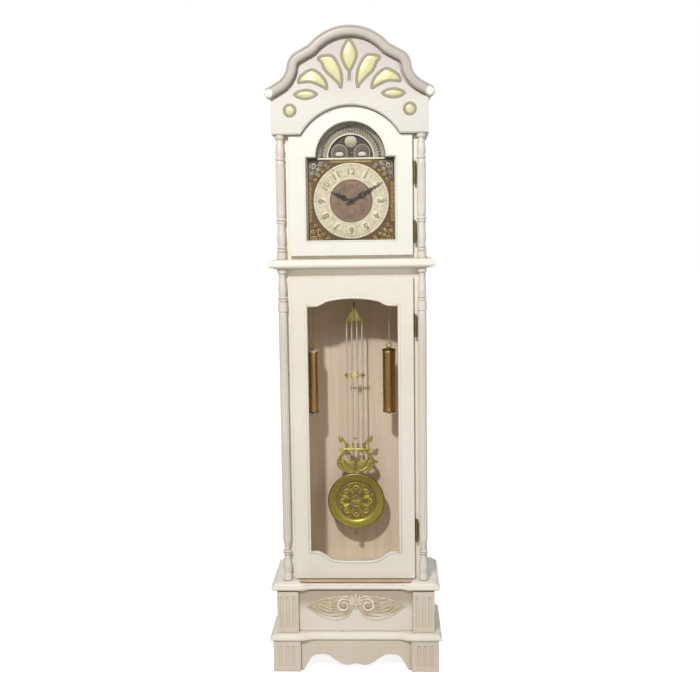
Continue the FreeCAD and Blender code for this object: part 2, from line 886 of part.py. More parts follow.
def waist_column(x):
    y = face_plane - column_setback
    r = column_radius

    def level(share):
        return waist_level + waist_height * share

    neck = waist_foot_shares[-1] * r
    shaft_radius = shaft_share * r
    profile = [(r, level(0.0)), (r, level(base_ring_share))]
    profile += vase_profile(r, waist_foot_shares, level(base_ring_share), level(foot_ring_low_share))[1:]
    profile += bead_profile(r, waist_ring_shares, level(foot_ring_low_share), level(foot_ring_high_share))
    profile += [(neck, level(foot_ring_high_share)), (point_share * r, level(point_low_share)),
                (shaft_radius, level(shaft_low_share)), (shaft_radius, level(shaft_high_share)),
                (block_neck_share * r, level(block_low_share)), (r, level(block_low_share)),
                (r, level(block_high_share)), (waist_ring_shares[0] * r, level(block_high_share))]
    profile += bead_profile(r, waist_ring_shares, level(ring_low_share), level(neck_low_share))
    profile += vase_profile(r, waist_cap_shares, level(neck_low_share), level(cap_share))[1:]
    profile += [(r, level(cap_share)), (r, level(1.0))]
    shaft = turned(x, y, profile)
    return fluted(shaft, column_grooves(x, y, shaft_radius, level(groove_low_share), level(groove_high_share)))


def hood_column(x):
    y = face_plane - column_setback
    r = column_radius

    def level(share):
        return hood_level + hood_height * share

    profile = [(r, level(0.0)), (r, level(hood_base_share))]
    profile += bead_profile(r, hood_ring_shares, level(hood_base_share), level(hood_ring_share))
    profile += vase_profile(r, hood_foot_shares, level(hood_ring_share), level(hood_lower_share))[1:]
    profile += bead_profile(r, hood_ring_shares, level(hood_lower_share), level(hood_ring_top_share))
    profile += [(shaft_root_share * r, level(hood_ring_top_share)), (shaft_share * r, level(hood_shaft_low_share)),
                (shaft_share * r, level(hood_shaft_high_share)), (shaft_root_share * r, level(hood_shaft_share))]
    profile += bead_profile(r, hood_ring_shares, level(hood_shaft_share), level(hood_cap_share))
    profile += vase_profile(r, hood_cap_shares, level(hood_cap_share), level(hood_block_share))[1:]
    profile += [(r, level(hood_block_share)), (r, level(1.0))]
    return turned(x, y, profile)


def crown_points(inset):
    # Points and arc middles of the crown's outline on the right, from the top outwards
    def normal(degrees):
        return Vector(math.sin(math.radians(degrees)), 0, math.cos(math.radians(degrees)))

    arch_centre = at(0, top_level - crown_arch_radius)
    arch = crown_arch_radius - inset
    points = [arch_centre + normal(crown_arch_angle) * arch]
    dip_centre = arch_centre + normal(crown_arch_angle) * (crown_arch_radius + crown_dip_radius)
    dip = crown_dip_radius + inset
    dip_middle = (crown_arch_angle + crown_dip_angle) / 2
    points.append(dip_centre - normal(dip_middle) * dip)
    points.append(dip_centre - normal(crown_dip_angle) * dip)
    slope = normal(crown_dip_angle)
    run = Vector(slope.z, 0, -slope.x) * crown_run
    knee_centre = dip_centre - slope * (crown_dip_radius + crown_knee_radius) + run
    knee = crown_knee_radius - inset
    points.append(knee_centre + slope * knee)
    points.append(knee_centre + normal((crown_dip_angle + crown_knee_angle) / 2) * knee)
    points.append(knee_centre + normal(crown_knee_angle) * knee)
    sweep_centre = knee_centre + normal(crown_knee_angle) * (crown_knee_radius + crown_sweep_radius)
    sweep = crown_sweep_radius + inset
    points.append(sweep_centre - normal((crown_knee_angle + crown_sweep_angle) / 2) * sweep)
    points.append(sweep_centre - normal(crown_sweep_angle) * sweep)
    tail = normal(crown_sweep_angle)
    points.append(points[-1] + Vector(tail.z, 0, -tail.x) * crown_horn)
    return points


def crown_edges(inset, reverse=False):
    # Edges from the left horn over the top to the right horn, or back again
    right = crown_points(inset)
    left = [at(-p.x, p.z) for p in right]
    top = at(0, top_level - inset)

    def side(p):
        return [arc_edge(p[0], p[1], p[2]), Part.LineSegment(p[2], p[3]).toShape(),
                arc_edge(p[3], p[4], p[5]), arc_edge(p[5], p[6], p[7]),
                Part.LineSegment(p[7], p[8]).toShape()]

    edges = list(reversed(side(left))) + [arc_edge(left[0], top, right[0])] + side(right)
    return list(reversed(edges)) if reverse else edges


def crown_wire(inset, y):
    outer = crown_points(0)
    inner = crown_points(inset)
    right_end = Part.LineSegment(outer[-1], inner[-1]).toShape()
    left_end = Part.LineSegment(at(-inner[-1].x, inner[-1].z), at(-outer[-1].x, outer[-1].z)).toShape()
    wire = Part.Wire(Part.sortEdges(crown_edges(0) + [right_end] + crown_edges(inset) + [left_end])[0])
    wire.translate(Vector(0, y, 0))
    return wire


def make_crown_moulding():
    # Section across the moulding: a lip, a hollow and a bead, then the flat against the board
    steps = list(crown_lip_shares)
    start_rise, start_inset = steps[-1]
    hollow_reach, hollow_drop = crown_hollow_shares
    for k in range(1, arc_steps + 1):
        angle = math.pi / 2 * k / arc_steps
        rise = start_rise + hollow_reach * math.sin(angle)
        steps.append((rise, start_inset + hollow_drop * (1 - math.cos(angle))))
    steps += crown_bead_shares
    wires = [crown_wire(crown_band * inset, crown_face + crown_reach * rise) for rise, inset in steps]
    wires.append(crown_wire(crown_band, pediment_back))
    crown = Part.makeLoft(wires, True, True)
    outer = crown_points(0)[-1]
    inner = crown_points(crown_band)[-1]
    profile = polygon([at(case_half_width, inner.z), inner, outer, at(case_half_width, outer.z)])
    side = slab(profile, pediment_back, back_plane)
    return Part.makeCompound([crown] + pair(side))


def make_pediment_board():
    right, left, top = hood_door_edges(0)
    crown_end = crown_points(crown_band)[-1]
    level = frieze_level
    low_right = [right[0], right[1], at(frieze_half_width, level), at(frieze_half_width, crown_end.z), crown_end]
    low_left = [at(-p.x, p.z) for p in reversed(low_right)]
    edges = straight_edges(low_right) + straight_edges(low_left)
    edges += [arc_edge(right[0], top, left[0])] + crown_edges(crown_band)
    wire = Part.Wire(Part.sortEdges(edges)[0])
    face = Part.Face(wire)
    face.translate(Vector(0, pediment_face, 0))
    panel = face.extrude(Vector(0, pediment_board, 0))
    for grow in (inlay_groove, 0):
        for cutter in inlay_shapes(grow, pediment_face - overrun, pediment_face + inlay_thickness):
            panel = panel.cut(cutter)
    side = block(case_half_width, frieze_half_width, pediment_back, back_plane, frieze_level, crown_end.z)
    return Part.makeCompound([panel] + pair(side))


def petal_wire(low, reach, height, shares):
    # Two smooth edges that meet in a point at each end
    points = [at(reach * x, frieze_level + low + height * z) for x, z in shares]
    turn = len(points) // 2 + 1
    return Part.Wire([smooth_edge(points[:turn + 1]), smooth_edge(points[turn:] + points[:1])])


def inlay_wires():
    disc = Part.Wire([Part.Circle(at(disc_x, frieze_level + disc_rise), Vector(0, 1, 0), disc_radius).toShape()])
    level = frieze_level + eye_rise
    left, right = at(eye_x - eye_half, level), at(eye_x + eye_half, level)
    eye = Part.Wire([arc_edge(left, at(eye_x, level + eye_lift), right),
                     arc_edge(right, at(eye_x, level - eye_lift), left)])
    wires = [disc, eye,
             petal_wire(outer_petal_low, outer_petal_reach, outer_petal_height, outer_petal_shares),
             petal_wire(inner_petal_low, inner_petal_reach, inner_petal_height, inner_petal_shares)]
    wires += [w.mirror(Vector(0, 0, 0), Vector(1, 0, 0)) for w in wires]
    right = [at(leaf_half * x, frieze_level + leaf_low + leaf_height * z) for x, z in leaf_shares]
    left = [at(-p.x, p.z) for p in reversed(right)]
    wires.append(Part.Wire([smooth_edge(right), smooth_edge(left)]))
    return wires


def inlay_shapes(grow, y0, y1):
    shapes = []
    for wire in inlay_wires():
        if grow:
            extent = wire.BoundBox
            wire = wire.copy()
            wire.scale(1 + 2 * grow / min(extent.XLength, extent.ZLength), extent.Center)
        face = Part.Face(wire)
        face.translate(Vector(0, y0, 0))
        shapes.append(face.extrude(Vector(0, y1 - y0, 0)))
    return shapes


def make_pediment_inlays():
    return Part.makeCompound(inlay_shapes(0, pediment_face - inlay_proud, pediment_face + inlay_thickness))


def make_hood_roof():
    return block(-side_inner, side_inner, inner_face, back_plane - thin_board, roof_level - roof_board, roof_level)


def make_seat_board():
    y0 = face_plane + seat_front - board
    seat = block(-side_inner, side_inner, y0, y0 + seat_depth + board, seat_z - board, seat_z)
    for x in (weight_left_x, weight_right_x):
        seat = seat.cut(rod_along_z(x, line_y, 5 * line_radius, seat_z - board - overrun, seat_z + overrun))
    return seat


def hinge_levels(which):
    if which == "waist":
        low = waist_door_low
        high = waist_door_high
        shares = waist_hinge_shares
    else:
        low = hood_level + hood_door_foot
        high = frieze_level
        shares = hood_hinge_shares
    return [low + (high - low) * share for share in shares]


def fixed_hinge(level):
    # The pin, two end knuckles and the leaf screwed to the face frame
    x = knuckle_x
    y = door_face
    half = knuckle_length / 2
    third = knuckle_length / 6
    low = level - half
    parts = [rod_along_z(x, y, hinge_pin_radius, low, level + half)]
    for z0, z1 in ((low, level - third), (level + third, level + half)):
        parts.append(rod_along_z(x, y, knuckle_radius, z0, z1))
        parts.append(block(x + knuckle_radius - leaf_thickness, x + knuckle_radius, y, face_plane, z0, z1))
    parts.append(block(x - knuckle_radius, x + knuckle_radius, face_plane - leaf_thickness, face_plane, low,
                       level + half).cut(block(x - knuckle_radius - overrun, x + knuckle_radius - leaf_thickness,
                                               door_back - overrun, face_plane + overrun,
                                               level - third, level + third)))
    return fuse(parts)


def moving_hinge(level):
    # The middle knuckle and the leaf on the edge of the door
    x = knuckle_x
    y = door_face
    third = knuckle_length / 6 - side_gap
    tube = rod_along_z(x, y, knuckle_radius, level - third, level + third)
    leaf = block(door_half_width, x, y + knuckle_radius - leaf_thickness, y + knuckle_radius,
                 level - third, level + third)
    plate = block(door_half_width, door_half_width + leaf_thickness, y + knuckle_radius - leaf_thickness,
                  door_back - side_gap, level - third, level + third)
    bore = rod_along_z(x, y, hinge_pin_radius + running_gap, level - third - overrun, level + third + overrun)
    return fuse([tube, leaf, plate]).cut(bore)


def make_case_fittings():
    parts = [fixed_hinge(level) for which in ("waist", "hood") for level in hinge_levels(which)]
    return Part.makeCompound(parts)


def make_door_hinges(which):
    return Part.makeCompound([moving_hinge(level) for level in hinge_levels(which)])


def moon_window_edges():
    # Half round above the bar, less the two humps
    radius = moon_window_radius
    level = arch_z + moon_bar
    side = math.sqrt(radius ** 2 - moon_bar ** 2)
    edges = straight_edges([at(-side, level), at(side, level)])
    edges.append(arc_edge(at(side, level), at(0, arch_z + radius), at(-side, level)))
    return edges


def hump(x, y0, y1):
    return rod_along_y(x, arch_z + moon_hump_rise, moon_hump_radius, y0, y1)


def make_dial_plate():
    low = dial_z - dial_half_width
    shoulder = arch_z + dial_arch_lap
    radius = hood_glass_arc + dial_arch_lap
    plate = slab(hood_opening_edges(dial_half_width, low, shoulder, radius, arch_z), inner_face, dial_back)
    window = slab(moon_window_edges(), inner_face - overrun, dial_back + overrun)
    for x in (-moon_hump_offset, moon_hump_offset):
        window = window.cut(hump(x, inner_face - 2 * overrun, dial_back + 2 * overrun))
    plate = plate.cut(window)
    plate = plate.cut(rod_along_y(0, dial_z, hour_pipe_outer + hand_thickness, inner_face - overrun,
                                  dial_back + overrun))
    for x in (-drum_offset, drum_offset):
        plate = plate.cut(rod_along_y(x, drum_z(), 2 * drum_arbor_radius, inner_face - overrun,
                                      dial_back + overrun))
    feet = []
    for x in (-dial_foot_x, dial_foot_x):
        for z in (seat_z + dial_foot_margin, seat_z + plate_height - dial_foot_margin):
            feet.append(rod_along_y(x, z, drum_arbor_radius, dial_back, plate_front))
    stud = rod_along_y(0, arch_z - hour_pipe_outer, minute_arbor_radius, dial_back,
                       dial_back + 2 * dial_plate_thickness + moon_disc_thickness)
    return fuse([plate, stud] + feet)


def drum_z():
    reach = great_module * (great_teeth + centre_leaves) / 2
    return dial_z - math.sqrt(reach ** 2 - drum_offset ** 2)


def ring(x, z, outer, inner, y0, y1):
    return rod_along_y(x, z, outer, y0, y1).cut(rod_along_y(x, z, inner, y0 - overrun, y1 + overrun))


def make_chapter_ring():
    return ring(0, dial_z, chapter_outer, chapter_inner, inner_face - ring_thickness, inner_face)


def make_lunar_scale():
    y0 = inner_face - ring_thickness
    band = ring(0, arch_z, lunar_outer, lunar_inner, y0, inner_face)
    low = block(-2 * lunar_outer, 2 * lunar_outer, y0 - overrun, inner_face + overrun,
                arch_z - 2 * lunar_outer, arch_z)
    half = dial_half_width - dial_arch_lap - side_gap
    bar = block(-half, half, y0, inner_face, arch_z - moon_bar, arch_z)
    return fuse([band.cut(low), bar])


def make_dial_spandrels():
    # Four corner ornaments that fill the space outside the chapter ring
    half = dial_half_width - dial_arch_lap - ring_thickness
    y0 = inner_face - ring_thickness
    reach = half * spandrel_share
    clear = rod_along_y(0, dial_z, chapter_outer + ring_thickness, y0 - overrun, inner_face + overrun)
    pieces = []
    top = min(half, arch_z - moon_bar - ring_thickness - dial_z)
    for side in (-1, 1):
        for rise, foot in ((top, top - reach), (-half, -half + reach)):
            x = side * half
            corner = [at(x, dial_z + rise), at(x - side * reach, dial_z + rise), at(x, dial_z + foot)]
            pieces.append(slab(polygon(corner), y0, inner_face).cut(clear))
    return Part.makeCompound(pieces)


def gear_outline(teeth, module, angle, shares):
    tooth_share, root_share, tip_share, addendum, dedendum = shares
    radius = teeth * module / 2
    pitch = 2 * math.pi / teeth
    points = []
    for k in range(teeth):
        middle = angle + k * pitch
        for r, share in ((radius - dedendum * module, root_share), (radius, tooth_share),
                         (radius + addendum * module, tip_share)):
            points.append((r, middle - pitch * share / 2))
        for r, share in ((radius + addendum * module, tip_share), (radius, tooth_share),
                         (radius - dedendum * module, root_share)):
            points.append((r, middle + pitch * share / 2))
    return [at(r * math.sin(a), r * math.cos(a)) for r, a in points]


def disc_slab(x, z, outline, holes, y0, y1):
    # A flat disc with a toothed or plain edge and holes, all drawn about its own centre
    face = Part.makeFace([Part.Wire(polygon(outline))] + holes, "Part::FaceMakerBullseye")
    face.translate(Vector(x, y0, z))
    return face.extrude(Vector(0, y1 - y0, 0))


def circle_wire(radius):
    return Part.Wire([Part.Circle(at(0, 0), Vector(0, 1, 0), radius).toShape()])


def gear(x, z, teeth, module, angle, y0, y1, bore, leaf=False):
    # Teeth are thin enough to turn freely in mesh
    outline = gear_outline(teeth, module, angle, leaf_tooth_shares if leaf else wheel_tooth_shares)
    return disc_slab(x, z, outline, [circle_wire(bore)], y0, y1)


def crossing(inner, outer, arm, start, end):
    # One window between two straight arms of a wheel
    def corner(radius, angle, side):
        swing = angle + side * math.asin(arm / 2 / radius)
        return at(radius * math.sin(swing), radius * math.cos(swing))

    middle = (start + end) / 2
    first, second = corner(outer, start, 1), corner(outer, end, -1)
    third, fourth = corner(inner, end, -1), corner(inner, start, 1)
    top = at(outer * math.sin(middle), outer * math.cos(middle))
    low = at(inner * math.sin(middle), inner * math.cos(middle))
    return Part.Wire([arc_edge(first, top, second), Part.LineSegment(second, third).toShape(),
                      arc_edge(third, low, fourth), Part.LineSegment(fourth, first).toShape()])


def crossings(spokes, inner, outer, arm):
    step = 2 * math.pi / spokes
    return [crossing(inner, outer, arm, k * step, (k + 1) * step) for k in range(spokes)]


def wheel(x, z, teeth, module, angle, y0, y1, bore, spokes=5, hub=hub_radius, rim=rim_width):
    # A crossed-out clock wheel
    outer = teeth * module / 2 - wheel_tooth_shares[-1] * module - rim
    holes = [circle_wire(bore)] + crossings(spokes, hub, outer, rim)
    outline = gear_outline(teeth, module, angle, wheel_tooth_shares)
    return disc_slab(x, z, outline, holes, y0, y1)


def heading(from_x, from_z, to_x, to_z):
    return math.atan2(to_x - from_x, to_z - from_z)


# Places of the arbors
third_reach = train_module * (centre_teeth + third_leaves) / 2
escape_reach = escape_module * (third_teeth + escape_leaves) / 2
escape_rise = suspension_rise - pallet_drop
third_rise = (third_reach ** 2 - escape_reach ** 2 + escape_rise ** 2) / (2 * escape_rise)
third_x = math.sqrt(third_reach ** 2 - third_rise ** 2)
third_z = dial_z + third_rise
escape_z = dial_z + escape_rise
motion_x = train_module * motion_teeth
hour_module = 2 * motion_x / (hour_teeth + motion_leaves)

# Planes of the wheels, front to back
cannon_y = plate_front - motion_pitch
hour_wheel_y = cannon_y - motion_pitch
train_front = plate_front + plate_thickness
train_back = train_front + plates_apart
great_y = train_front + great_inset
strike_y = train_front + strike_inset
centre_pinion_y = great_y - centre_pinion_lead
drum_y = great_y + drum_lead
third_wheel_y = train_front + third_inset
escape_wheel_y = train_front + escape_inset
centre_wheel_y = train_front + centre_inset
minute_y = door_back + hand_standoff
hour_y = minute_y + hands_apart


def hand(length, angle, y, style_shares):
    # A pierced hand cut from sheet, pointing up and then turned to its place
    right = [at(length * x, dial_z + length * z) for x, z in style_shares]
    left = [at(-p.x, p.z) for p in reversed(right) if p.x > 0]
    blade = slab(straight_edges(right) + straight_edges([right[-1]] + left + [right[0]]), y, y + hand_thickness)
    boss = rod_along_y(0, dial_z, hand_boss, y, y + hand_thickness)
    shape = fuse([blade, boss])
    for z_share, r_share in hand_hole_shares:
        shape = shape.cut(rod_along_y(0, dial_z + length * z_share, length * r_share, y - overrun, y + overrun))
    shape.rotate(at(0, dial_z), Vector(0, 1, 0), angle)
    return shape


def make_minute_hand():
    blade = hand(minute_hand_length, minute_hand_angle, minute_y, minute_shares)
    blade = blade.cut(rod_along_y(0, dial_z, minute_arbor_radius, minute_y - overrun, minute_y + overrun))
    nut = rod_along_y(0, dial_z, hand_boss / 2, minute_y - 2 * hand_thickness, minute_y)
    nut = nut.cut(rod_along_y(0, dial_z, minute_arbor_radius, minute_y - overrun, minute_y + overrun))
    return Part.makeCompound([blade, nut])


def make_centre_arbor():
    # The arbor through the movement, with its pinion, wheel and the wheel of the motion work
    front = minute_y - 2 * hand_thickness
    arbor = rod_along_y(0, dial_z, minute_arbor_radius, front, train_back + plate_thickness)
    toward_great = heading(0, dial_z, -drum_offset, drum_z())
    pinion = gear(0, dial_z, centre_leaves, great_module, toward_great, centre_pinion_y,
                  centre_pinion_y + pinion_length, minute_arbor_radius, leaf=True)
    toward_third = heading(0, dial_z, third_x, third_z)
    centre = wheel(0, dial_z, centre_teeth, train_module, toward_third, centre_wheel_y,
                   centre_wheel_y + wheel_thickness, minute_arbor_radius)
    cannon = gear(0, dial_z, motion_teeth, train_module, math.pi / 2, cannon_y, cannon_y + wheel_thickness,
                  minute_arbor_radius)
    return Part.makeCompound([arbor, pinion, centre, cannon])


def make_hour_hand():
    blade = hand(hour_hand_length, hour_hand_angle, hour_y, hour_shares)
    blade = blade.cut(rod_along_y(0, dial_z, hour_pipe_outer, hour_y - overrun, hour_y + overrun))
    pipe = ring(0, dial_z, hour_pipe_outer, hour_pipe_inner, hour_y, hour_wheel_y + wheel_thickness)
    hour = wheel(0, dial_z, hour_teeth, hour_module, math.pi / 2, hour_wheel_y,
                 hour_wheel_y + wheel_thickness, hour_pipe_outer)
    return Part.makeCompound([blade, pipe, hour])


def make_motion_wheel():
    half_tooth = math.pi / motion_teeth
    half_leaf = math.pi / motion_leaves
    bore = motion_stud + running_gap
    big = gear(motion_x, dial_z, motion_teeth, train_module, -math.pi / 2 + half_tooth, cannon_y,
               cannon_y + wheel_thickness, bore)
    small = gear(motion_x, dial_z, motion_leaves, hour_module, -math.pi / 2 + half_leaf,
                 hour_wheel_y, cannon_y, bore, leaf=True)
    return Part.makeCompound([big, small])


def make_third_wheel():
    toward_centre = heading(third_x, third_z, 0, dial_z)
    toward_escape = heading(third_x, third_z, 0, escape_z)
    arbor = rod_along_y(third_x, third_z, thin_arbor, train_front - plate_thickness, train_back + plate_thickness)
    pinion = gear(third_x, third_z, third_leaves, train_module, toward_centre + math.pi / third_leaves,
                  centre_wheel_y - pinion_length / 2, centre_wheel_y + pinion_length / 2 + wheel_thickness,
                  thin_arbor, leaf=True)
    third = wheel(third_x, third_z, third_teeth, escape_module, toward_escape, third_wheel_y,
                  third_wheel_y + wheel_thickness, thin_arbor)
    return Part.makeCompound([arbor, pinion, third])


def make_escape_wheel():
    toward_third = heading(0, escape_z, third_x, third_z)
    arbor = rod_along_y(0, escape_z, thin_arbor, train_front - plate_thickness, train_back + plate_thickness)
    pinion = gear(0, escape_z, escape_leaves, escape_module, toward_third + math.pi / escape_leaves,
                  third_wheel_y - pinion_length / 2, third_wheel_y + pinion_length / 2 + wheel_thickness,
                  thin_arbor, leaf=True)
    root = escape_root_share * escape_radius
    pitch = 2 * math.pi / escape_teeth
    points = []
    for k in range(escape_teeth):
        tooth = ((root, k * pitch), (escape_radius, (k + escape_tip_share) * pitch),
                 (root, (k + escape_back_share) * pitch))
        points += [at(r * math.sin(a), r * math.cos(a)) for r, a in tooth]
    holes = [circle_wire(thin_arbor)] + crossings(4, escape_hub_share * escape_radius,
                                                  escape_rim_share * escape_radius, 2 * thin_arbor)
    disc = disc_slab(0, escape_z, points, holes, escape_wheel_y, escape_wheel_y + wheel_thickness)
    return Part.makeCompound([disc, arbor, pinion])


def make_anchor():
    # Pallet arbor, anchor and crutch
    arbor = rod_along_y(0, suspension_z, thin_arbor, train_front - plate_thickness, crutch_y + wheel_thickness)
    reach = escape_radius + pallet_gap
    angle = math.radians(pallet_span_angle)
    tip = at(reach * math.sin(angle), escape_z + reach * math.cos(angle))
    arm_top = at(tip.x + pallet_width, tip.z + pallet_width)
    right = [at(0, suspension_z + 2 * pallet_width), at(arm_top.x, arm_top.z), at(arm_top.x, tip.z - pallet_width),
             tip, at(tip.x - pallet_width, tip.z + pallet_width), at(0, suspension_z - pallet_width)]
    left = [at(-p.x, p.z) for p in reversed(right[1:-1])]
    fork = slab(polygon(right + left), escape_wheel_y, escape_wheel_y + wheel_thickness)
    y0 = crutch_y
    strip = block(-pallet_width, pallet_width, y0, y0 + wheel_thickness, suspension_z - crutch_length,
                  suspension_z + pallet_width)
    foot_top = suspension_z - crutch_length + 2 * pallet_width
    inner = leader_width / 2 + side_gap
    prong = block(inner, inner + pallet_width, y0 + wheel_thickness, pendulum_y + 2 * pallet_width,
                  suspension_z - crutch_length, foot_top)
    foot = block(-inner - pallet_width, inner + pallet_width, y0, y0 + wheel_thickness,
                 suspension_z - crutch_length, foot_top)
    return fuse([arbor, fork, strip, foot] + pair(prong))


def make_movement_frame():
    plates = []
    for y0 in (plate_front, plate_front + plate_thickness + plates_apart):
        plate = block(-plate_half_width, plate_half_width, y0, y0 + plate_thickness, seat_z, seat_z + plate_height)
        holes = [(0, dial_z, minute_arbor_radius), (third_x, third_z, thin_arbor), (0, escape_z, thin_arbor),
                 (0, suspension_z, thin_arbor), (-drum_offset, drum_z(), drum_arbor_radius),
                 (drum_offset, drum_z(), drum_arbor_radius)]
        for x, z, r in holes:
            plate = plate.cut(rod_along_y(x, z, r + running_gap, y0 - overrun, y0 + plate_thickness + overrun))
        plates.append(plate)
    pillars = []
    for x in (-plate_half_width + pillar_inset, plate_half_width - pillar_inset):
        for z in (seat_z + pillar_inset, seat_z + plate_height - pillar_inset):
            pillars.append(rod_along_y(x, z, pillar_radius, train_front, train_back))
            pillars.append(rod_along_y(x, z, pillar_radius, train_back + plate_thickness,
                                       train_back + plate_thickness + wheel_thickness))
    stud = rod_along_y(motion_x, dial_z, motion_stud, hour_wheel_y - wheel_thickness, plate_front)
    hammer_stud = rod_along_y(hammer_x, hammer_z, hammer_stud_radius, plate_rear,
                              hammer_y + hammer_boss / 2 + hammer_stud_end)
    return Part.makeCompound(plates + pillars + [stud, hammer_stud, make_suspension_cock()])


def make_strike_hammer():
    z = hammer_z
    y = hammer_y
    boss = rod_along_y(hammer_x, z, hammer_boss / 2, y - hammer_boss / 2, y + hammer_boss / 2)
    arm = block(hammer_x - pallet_width, hammer_x + pallet_width, y - wheel_thickness / 2, y + wheel_thickness / 2,
                z - hammer_arm, z)
    head = Part.makeCylinder(hammer_head_radius, 2 * hammer_head_radius,
                             Vector(hammer_x - hammer_head_radius, y, z - hammer_arm), Vector(1, 0, 0))
    bore = rod_along_y(hammer_x, z, hammer_stud_radius + running_gap, y - hammer_boss, y + hammer_boss)
    return fuse([boss, arm, head]).cut(bore)


def make_gong_rods():
    # A cast block on the back board with two hanging rods
    y1 = back_plane - thin_board
    y = hammer_y
    top = hammer_z - hammer_arm / 2
    first = hammer_x + hammer_head_radius + side_gap + gong_rod_radius
    block_body = block(first - gong_rod_radius - side_gap / 2, first + gong_rod_gap + 2 * gong_rod_radius,
                       y - gong_rod_gap / 2, y1, top, top + gong_block_height)
    rods = [rod_along_z(first + k * gong_rod_gap, y, gong_rod_radius, top - gong_rod_length, top)
            for k in range(2)]
    return Part.makeCompound([block_body] + rods)


def make_great_wheel():
    x, z = -drum_offset, drum_z()
    toward_centre = heading(x, z, 0, dial_z)
    half_tooth = math.pi / great_teeth
    return wheel(x, z, great_teeth, great_module, toward_centre + half_tooth, great_y, great_y + wheel_thickness,
                 drum_arbor_radius + running_gap, spokes=6, hub=great_hub_radius, rim=great_rim_width)


def drum(side):
    # Grooved drum between two flanges, on its winding arbor
    x, z = side * drum_offset, drum_z()
    arbor = rod_along_y(x, z, drum_arbor_radius, dial_back - dial_plate_thickness / 2,
                        train_back + plate_thickness)
    rim = drum_radius + drum_flange
    end = drum_y + drum_length
    profile = [(rim, drum_y - wheel_thickness), (rim, drum_y), (drum_radius, drum_y)]
    for k in range(drum_turns):
        y = drum_y + drum_length * (k + 0.5) / drum_turns
        profile += [(drum_radius, y - 1.5 * line_radius), (drum_radius - 1.2 * line_radius, y),
                    (drum_radius, y + 1.5 * line_radius)]
    profile += [(drum_radius, end), (rim, end), (rim, end + wheel_thickness)]
    body = turned_along_y(x, z, profile).cut(rod_along_y(x, z, drum_arbor_radius, drum_y - overrun, end + overrun))
    parts = [arbor, body]
    if side > 0:
        parts.append(wheel(x, z, strike_teeth, strike_module, 0, strike_y, strike_y + wheel_thickness,
                           drum_arbor_radius, spokes=6, hub=great_hub_radius, rim=great_rim_width))
    return Part.makeCompound(parts)


def roller_centre(side):
    x = weight_right_x - roller_radius if side > 0 else weight_left_x + roller_radius
    return x, seat_z + roller_lift


def make_guide_roller(side):
    x, z = roller_centre(side)
    y0, y1 = line_y - roller_width / 2, line_y + roller_width / 2
    body = rod_along_y(x, z, roller_flange, y0, y1)
    body = body.cut(Part.makeTorus(roller_flange + line_radius, roller_flange - roller_radius + 2 * line_radius,
                                   Vector(x, line_y, z), Vector(0, 1, 0)))
    pin = rod_along_y(x, z, roller_pin_radius, y0 - 3 * bracket_sheet, y1 + 3 * bracket_sheet)
    return fuse([body, pin])


def make_roller_brackets():
    brackets = []
    for side in (-1, 1):
        x, z = roller_centre(side)
        half = roller_radius - 2 * line_radius
        gap = roller_width / 2 + bracket_sheet / 2
        base = block(x - half, x + half, line_y - gap - bracket_sheet, line_y + gap + bracket_sheet,
                     seat_z, seat_z + bracket_sheet)
        cheeks = []
        for y0 in (line_y - gap - bracket_sheet, line_y + gap):
            cheek = block(x - half, x + half, y0, y0 + bracket_sheet, seat_z, z + 2 * roller_pin_radius)
            cheek = cheek.cut(rod_along_y(x, z, roller_pin_radius + running_gap, y0 - overrun, y0 + overrun))
            cheeks.append(cheek)
        brackets.append(fuse([base] + cheeks))
    return Part.makeCompound(brackets)


def lead_points(side):
    # The line leaves the drum on its upper outer side and lands on top of the roller
    x1, z1 = side * drum_offset, drum_z()
    x2, z2 = roller_centre(side)
    along = at(x2 - x1, z2 - z1)
    span = along.Length
    along.normalize()
    across = at(-side * along.z * side, along.x) if side > 0 else at(along.z, -along.x)
    share = (drum_radius - roller_radius) / span
    normal = across * math.sqrt(1 - share * share) + along * share
    start = at(x1, z1) + normal * (drum_radius + line_radius)
    end = at(x2, z2) + normal * (roller_radius + line_radius)
    return start, end


def make_line_leads():
    leads = []
    for side in (-1, 1):
        start, end = lead_points(side)
        lead = rod_between(start, end, line_radius)
        lead.translate(Vector(0, line_y, 0))
        leads.append(lead)
    return Part.makeCompound(leads)


def weight_x(side):
    return weight_right_x if side > 0 else weight_left_x


def ring_centre_z():
    return weight_bottom + weight_length + hook_ring_radius + hook_wire


def make_line(side):
    x = weight_x(side) + side * line_radius
    low = ring_centre_z() + hook_ring_radius + hook_wire
    return rod_along_z(x, line_y, line_radius, low, seat_z + roller_lift)


def make_weight(side):
    # A brass shell with turned end caps, and the ring that hangs on the line
    x = weight_x(side)
    low = weight_bottom
    high = low + weight_length
    profile = [(weight_radius - 2 * line_radius, low), (weight_radius, low + 2 * line_radius),
               (weight_radius, high - 2 * line_radius), (weight_radius - 2 * line_radius, high)]
    body = turned(x, line_y, profile)
    neck = rod_along_z(x, line_y, hook_neck, high, high + 2 * hook_wire)
    slot_half = hook_wire + running_gap
    neck = neck.cut(block(x - 2 * hook_neck, x + 2 * hook_neck, line_y - slot_half, line_y + slot_half,
                          high, high + 2 * hook_wire + overrun))
    hook = Part.makeTorus(hook_ring_radius, hook_wire, Vector(x, line_y, ring_centre_z()), Vector(0, 1, 0))
    return Part.makeCompound([body] + neck.Solids + [hook])


